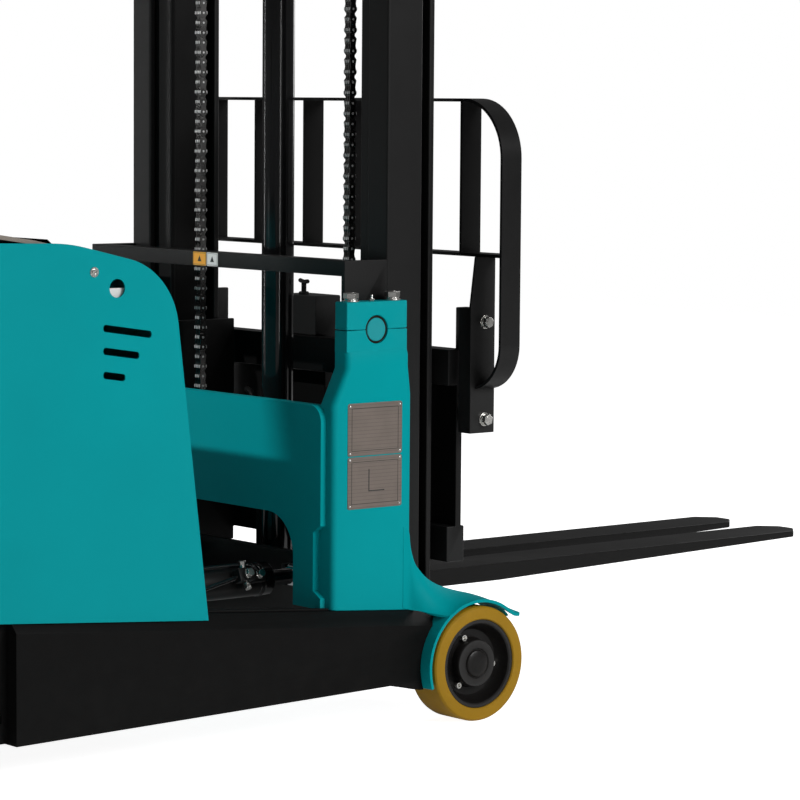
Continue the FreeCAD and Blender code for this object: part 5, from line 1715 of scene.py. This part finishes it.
@dataclass
class Mast:
    """Outer and inner mast, cylinder, cross bar and chains."""

    edge: float = 0.004
    stage_edge: float = 0.003
    plate_edge: float = 0.002
    label_z: Flat = (0.8115, 0.8365)
    labels_y: tuple[tuple[str, Sticker, float, float], ...] = (
        ("orange_warning", ORANGE_LABEL, 0.019, 0.060), ("white_notice", WHITE_LABEL, -0.018, 0.017))
    border_inset: float = 0.0016
    border_line: float = 0.0006
    mark: tuple[Flat, ...] = ((-0.006, -0.005), (0.006, -0.005), (0.0, 0.006))
    end_gap: float = 0.0086
    sheave_radius: float = 0.0435
    slack: float = 0.012
    clevis: float = 0.018
    feed_height: float = 0.080
    feed_gap: float = 0.010
    feed_line: tuple[Point, ...] = (
        (0.012, 0.0, 0.0), (0.0, 0.0, 0.004), (-0.002, 0.0, 0.03), (-0.002, 0.0, 0.26), (-0.002, 0.006, 0.32),
        (0.004, 0.030, 0.37), (0.010, 0.055, 0.38))
    feed_radius: float = 0.0055

    def build(self) -> None:
        """Build the mast."""
        soften("outer_rails", MAST_BLACK, "mast", self.edge, 3)
        soften("mast_cross_members", MAST_BLACK, "mast", self.plate_edge)
        soften("trunnion_frame", MAST_BLACK, "mast", self.plate_edge)
        soften("lift_cylinder", GLOSS_BLACK, "mast", 0.0015)
        soften("inner_rails", MAST_BLACK, "inner_stage", self.stage_edge, 3)
        soften("inner_crosshead", MAST_BLACK, "inner_stage", self.plate_edge)
        for name in ("inner_mast_rollers", "chain_sheaves"):
            dress_node(name, STEEL)
        dress_node("lift_rod", CHROME)
        self.chains()
        self.labels()
        self.cylinder()
        self.fixings()

    def chains(self) -> None:
        """Leaf chains from the fixed anchors over the sheaves to the carriage."""
        chain = LeafChain()
        load_low, load_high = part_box("chain_load_strands")
        fixed_low, fixed_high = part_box("chain_anchor_strands")
        wheel_low, wheel_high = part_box("chain_sheaves")
        load_x = (load_low.x + load_high.x) / 2
        fixed_x = (fixed_low.x + fixed_high.x) / 2
        middle = (wheel_low.x + wheel_high.x) / 2
        track = load_high.y - chain.reach - 0.0002
        wrap = [Vector((x, z)) for x, z in (
            (middle + math.cos(math.radians(turn)) * (load_x - middle),
             load_high.z + math.sin(math.radians(turn)) * self.sheave_radius) for turn in range(0, 181, 20))]
        load, fixed = (chain.pins((x, low.z + self.end_gap), (x, high.z - self.end_gap)) for x, low, high in (
            (load_x, load_low, load_high), (fixed_x, fixed_low, fixed_high)))
        strands = (("load_chain", "fork_carriage", "chain_load_strands", load),
                   ("anchor_chain", "", "chain_anchor_strands", fixed),
                   ("sheave_chain", "inner_stage", "", wrap))
        for name, body, node, spots in strands:
            plates, pins = Shape(name + "_plates"), Shape(name + "_pins_and_glints")
            for sign in (1, -1):
                chain.run(plates, pins, spots, sign * track)
            # The pins' near-white finish, with the patches in the same shape, is painted highlight.
            for piece in (plates.piece(LEAF, body, smooth=30, stands_for=(node,) if node else ()),
                          pins.piece(GLINT_PIN, body, smooth=30)):
                if not body:
                    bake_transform(piece)
                elif body == "fork_carriage":
                    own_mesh(piece)
        ends = Shape("chain_clevises")
        for sign in (1, -1):
            ends.box((fixed_x - 0.0085, sign * track - self.end_gap, fixed_low.z - 0.0002),
                     (fixed_x + 0.0085, sign * track + self.end_gap, fixed_low.z + self.clevis))
        ends.piece(FRAME_BLACK, "mast", 0.0015)

    def labels(self) -> None:
        """Two blank labels on the cross bar's rear face."""
        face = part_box("trunnion_frame")[0].x
        bottom, top = self.label_z
        for name, finish, near, far in self.labels_y:
            label = Shape(name + "_label")
            label.prism(Axis.X, pane((near, bottom), (far, top), 0.002, 3), face - 0.0004, face + 0.0002)
            label.piece(finish, "mast")
            border = Shape(name + "_border")
            outer, inner = (pane((near + gap, bottom + gap), (far - gap, top - gap))
                            for gap in (self.border_inset, self.border_inset + self.border_line))
            border.prism(Axis.X, outer, face - 0.0005, face - 0.0003, (inner,))
            border.prism(Axis.X, [((near + far) / 2 + y, (bottom + top) / 2 + z) for y, z in self.mark],
                         face - 0.0005, face - 0.0003)
            border.piece(INK, "mast")

    def cylinder(self) -> None:
        """Gland nut, foot fitting and feed line of the lift cylinder."""
        low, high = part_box("lift_cylinder")
        middle = (low + high) / 2
        radius = (high.y - low.y) / 2
        wide, slim, top = radius + 0.0012, radius - 0.0006, high.z
        gland = Shape("lift_gland").turned(facing((middle.x, middle.y, 0), UP), [
            (radius - 0.004, top - 0.042), (wide, top - 0.042), (wide, top - 0.030), (slim, top - 0.028),
            (slim, top - 0.024), (wide, top - 0.022), (wide, top - 0.004), (radius - 0.001, top + 0.0004),
            (0.021, top + 0.0004)], 56)
        gland.piece(GLOSS_BLACK, "mast", smooth=30)
        x, z = low.x - self.feed_gap, low.z + self.feed_height
        route = [(x + along, y, z + rise) for along, y, rise in self.feed_line]
        line = Shape("lift_feed_line").tube(smooth_path(route, 6), self.feed_radius)
        line.piece(FRAME_BLACK, "mast", smooth=60)
        nuts = Shape("lift_line_nuts")
        nuts.hexagon(facing((x + 0.014, 0, z), (-1, 0, 0)), 0.019, 0.0, 0.012)
        for rise in (0.030, 0.245):
            nuts.hexagon(facing((x - 0.002, 0, z + rise), UP), 0.016, 0.0, 0.013)
        nuts.piece(ZINC, "mast", smooth=20)

    def fixings(self) -> None:
        """Bolts on the crosshead and socket screws that hold the roller stubs."""
        low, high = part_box("inner_crosshead")
        bolts = Shape("crosshead_bolts")
        x = (low.x + high.x) / 2
        for y in (low.y + 0.03, high.y - 0.03):
            for step in (-0.025, 0.025):
                place = facing((x + step, y, high.z), UP)
                bolts.turned(place, [(0.008, -0.0007), (0.008, -0.0003), (0, -0.0003)], 20)
        bolts.piece(ZINC, "inner_stage", smooth=30)
        stubs = Shape("roller_stub_screws")
        rail_low, rail_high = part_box("outer_rails")
        for sign in (1, -1):
            for z in (rail_high.z - 0.060, rail_low.z + 0.055):
                place = facing(((rail_low.x + rail_high.x) / 2, sign * rail_high.y, z), (0, sign, 0))
                stubs.turned(place, [(0.010, -0.0005), (0.010, 0.0015), (0, 0.0015)], 24)
                LoadWheel.cap_screw(stubs, place @ Matrix.Translation((0, 0, 0.0012)), 0.0062, 0.0045)
        stubs.piece(ZINC, "mast", smooth=30)


@dataclass
class CarriageGroup:
    """Carriage, backrest and forks."""

    edge: float = 0.002
    bar_edge: float = 0.0012
    fork_edge: float = 0.0025
    bolt_z: Flat = (0.543, 0.721)
    bolt_inset: float = 0.024
    lever_half: float = 0.022
    lever_radius: float = 0.0042

    def build(self) -> None:
        """Build the load-handling end."""
        soften("carriage", MAST_BLACK, "fork_carriage", self.edge)
        dress_node("carriage_rollers", STEEL)
        soften("load_backrest", MAST_BLACK, "fork_carriage", self.bar_edge)
        bolt = HexBolt(0.0185, 0.0085, stack=((0.0125, 0.0022), (0.0108, 0.0030)))
        for side in Side:
            soften(side.part("backrest_bracket"), MAST_BLACK, "fork_carriage", self.bar_edge)
            soften(side.part("fork"), FORK_BLACK, side.part("fork_body"), self.fork_edge)
            self.lock(side)
            low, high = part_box(side.part("backrest_bracket"))
            bolts = Shape(side.part("bracket_bolts"))
            face = side.value * reach_of(low, high)[1]
            for z in self.bolt_z:
                bolt.add(bolts, (high.x - self.bolt_inset, face, z), (0, side.value, 0))
            bolts.piece(ZINC, "fork_carriage", 0.0004, smooth=25)

    def lock(self, side: Side) -> None:
        """Fork lock: a sprung pin with a T handle on the top hook.

        Args:
            side: Which side.
        """
        low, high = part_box(side.part("fork"))
        y = (low.y + high.y) / 2
        x = low.x + 0.014
        pin = Shape(side.part("fork_lock"))
        pin.turned(facing((x, y, high.z), UP), [
            (0.010, -0.0010), (0.010, 0.0040), (0.0085, 0.0060), (0.0050, 0.0060), (0.0050, 0.0230),
            (0, 0.0230)], 24)
        half, rise = self.lever_half, high.z + 0.0265
        ends = [Vector((x - half * 0.35, y - half, rise)), Vector((x, y, high.z + 0.0245)),
                Vector((x + half * 0.35, y + half, rise))]
        pin.tube(ends, self.lever_radius)
        pin.piece(FORK_BLACK, side.part("fork_body"), 0.0004, smooth=40)


@dataclass
class TiltHydraulics:
    """Tilt cylinders with their glands, fittings and rigid feed lines."""

    line: float = 0.0042
    lean_deg: float = 68.0
    port_inset: Flat = (0.045, 0.080)
    valve_gap: float = 0.036

    def build(self) -> None:
        """Dress both tilt cylinders and fit their lines."""
        for side in Side:
            soften(side.part("tilt_barrel"), MAST_BLACK, side.part("tilt_cylinder"), 0.002)
            dress_node(side.part("tilt_rod"), CHROME)
            self.fittings(side)

    def fittings(self, side: Side) -> None:
        """Add gland, ports, banjo fittings and rigid lines to one cylinder.

        Args:
            side: Which side.
        """
        sign = side.value
        body = side.part("tilt_cylinder")
        low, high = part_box(side.part("tilt_barrel"))
        y = (low.y + high.y) / 2
        radius = (high.y - low.y) / 2
        z = high.z - radius
        wide, slim = radius + 0.0012, radius - 0.0008
        gland = Shape(side.part("tilt_gland")).turned(facing((0, y, z), (1, 0, 0)), [
            (0.016, high.x + 0.0006), (radius - 0.003, high.x + 0.0006), (wide, high.x - 0.003),
            (wide, high.x - 0.020), (slim, high.x - 0.022), (slim, high.x - 0.026),
            (radius + 0.0006, high.x - 0.028), (radius - 0.003, high.x - 0.040)], 44)
        gland.piece(GLOSS_BLACK, body, smooth=30)
        top = z + radius
        front, rear = high.x - self.port_inset[0], low.x + self.port_inset[1]
        valve = front - self.valve_gap
        axis = Matrix.Translation((0, y, z))
        lean = axis @ Matrix.Rotation(math.radians(-sign * self.lean_deg), 4, "X") @ axis.inverted()
        ports = Shape(side.part("tilt_ports"))
        for x in (front, rear):
            ports.box((x - 0.015, y - 0.013, top - 0.010), (x + 0.015, y + 0.013, top + 0.010))
        ports.box((valve - 0.016, y - 0.012, top + 0.004), (valve + 0.016, y + 0.012, top + 0.026))
        ports.moved(lean).piece(MAST_BLACK, body, 0.0015)
        bright = Shape(side.part("tilt_fittings"))
        for x, rise in ((front, 0.010), (rear, 0.010), (valve, 0.026)):
            place = facing((x, y, top + rise), UP)
            bright.turned(place, [(0.009, -0.001), (0.009, 0.008), (0.0075, 0.009), (0, 0.009)], 22)
            bright.hexagon(place, 0.014, 0.008, 0.015)
        for way in (-1, 1):
            place = facing((valve, y + way * 0.010, top + 0.016), (0, way, 0.35))
            bright.turned(place, [(0.0065, 0), (0.0065, 0.010), (0, 0.010)], 18)
            bright.hexagon(place, 0.012, 0.008, 0.017)
        bright.moved(lean).piece(ZINC, body, 0.0003, smooth=25)
        lines = Shape(side.part("tilt_lines"))
        for route in (
                ((front, 0.0, 0.018), (front - 0.012, 0.012, 0.022), (front - 0.040, 0.020, 0.014),
                 (front - 0.120, 0.022, 0.006), (rear + 0.050, 0.022, 0.006), (rear + 0.018, 0.012, 0.016),
                 (rear, 0.0, 0.018)),
                ((front - 0.050, -0.002, 0.016), (front - 0.090, -0.010, 0.012),
                 (front - 0.150, -0.020, 0.010), (rear + 0.060, -0.024, 0.006),
                 (rear + 0.010, -0.016, -0.001))):
            lines.tube(smooth_path([(x, y + out, top + rise) for x, out, rise in route], 7), self.line)
        lines.moved(lean).piece(GLOSS_BLACK, body, smooth=60)


def main() -> None:
    """Build the truck, sub-assembly by sub-assembly."""
    logging.basicConfig(level=logging.INFO, format="%(name)s: %(message)s")
    groups = (Studio(), Undercarriage(), LoadWheel(), Towers(), Bodywork(), PowerPack(), DriveEnd(), Mast(),
              CarriageGroup(), TiltHydraulics())
    for group in groups:
        log.info("building %s", type(group).__name__)
        group.build()


if __name__ == "__main__":
    main()
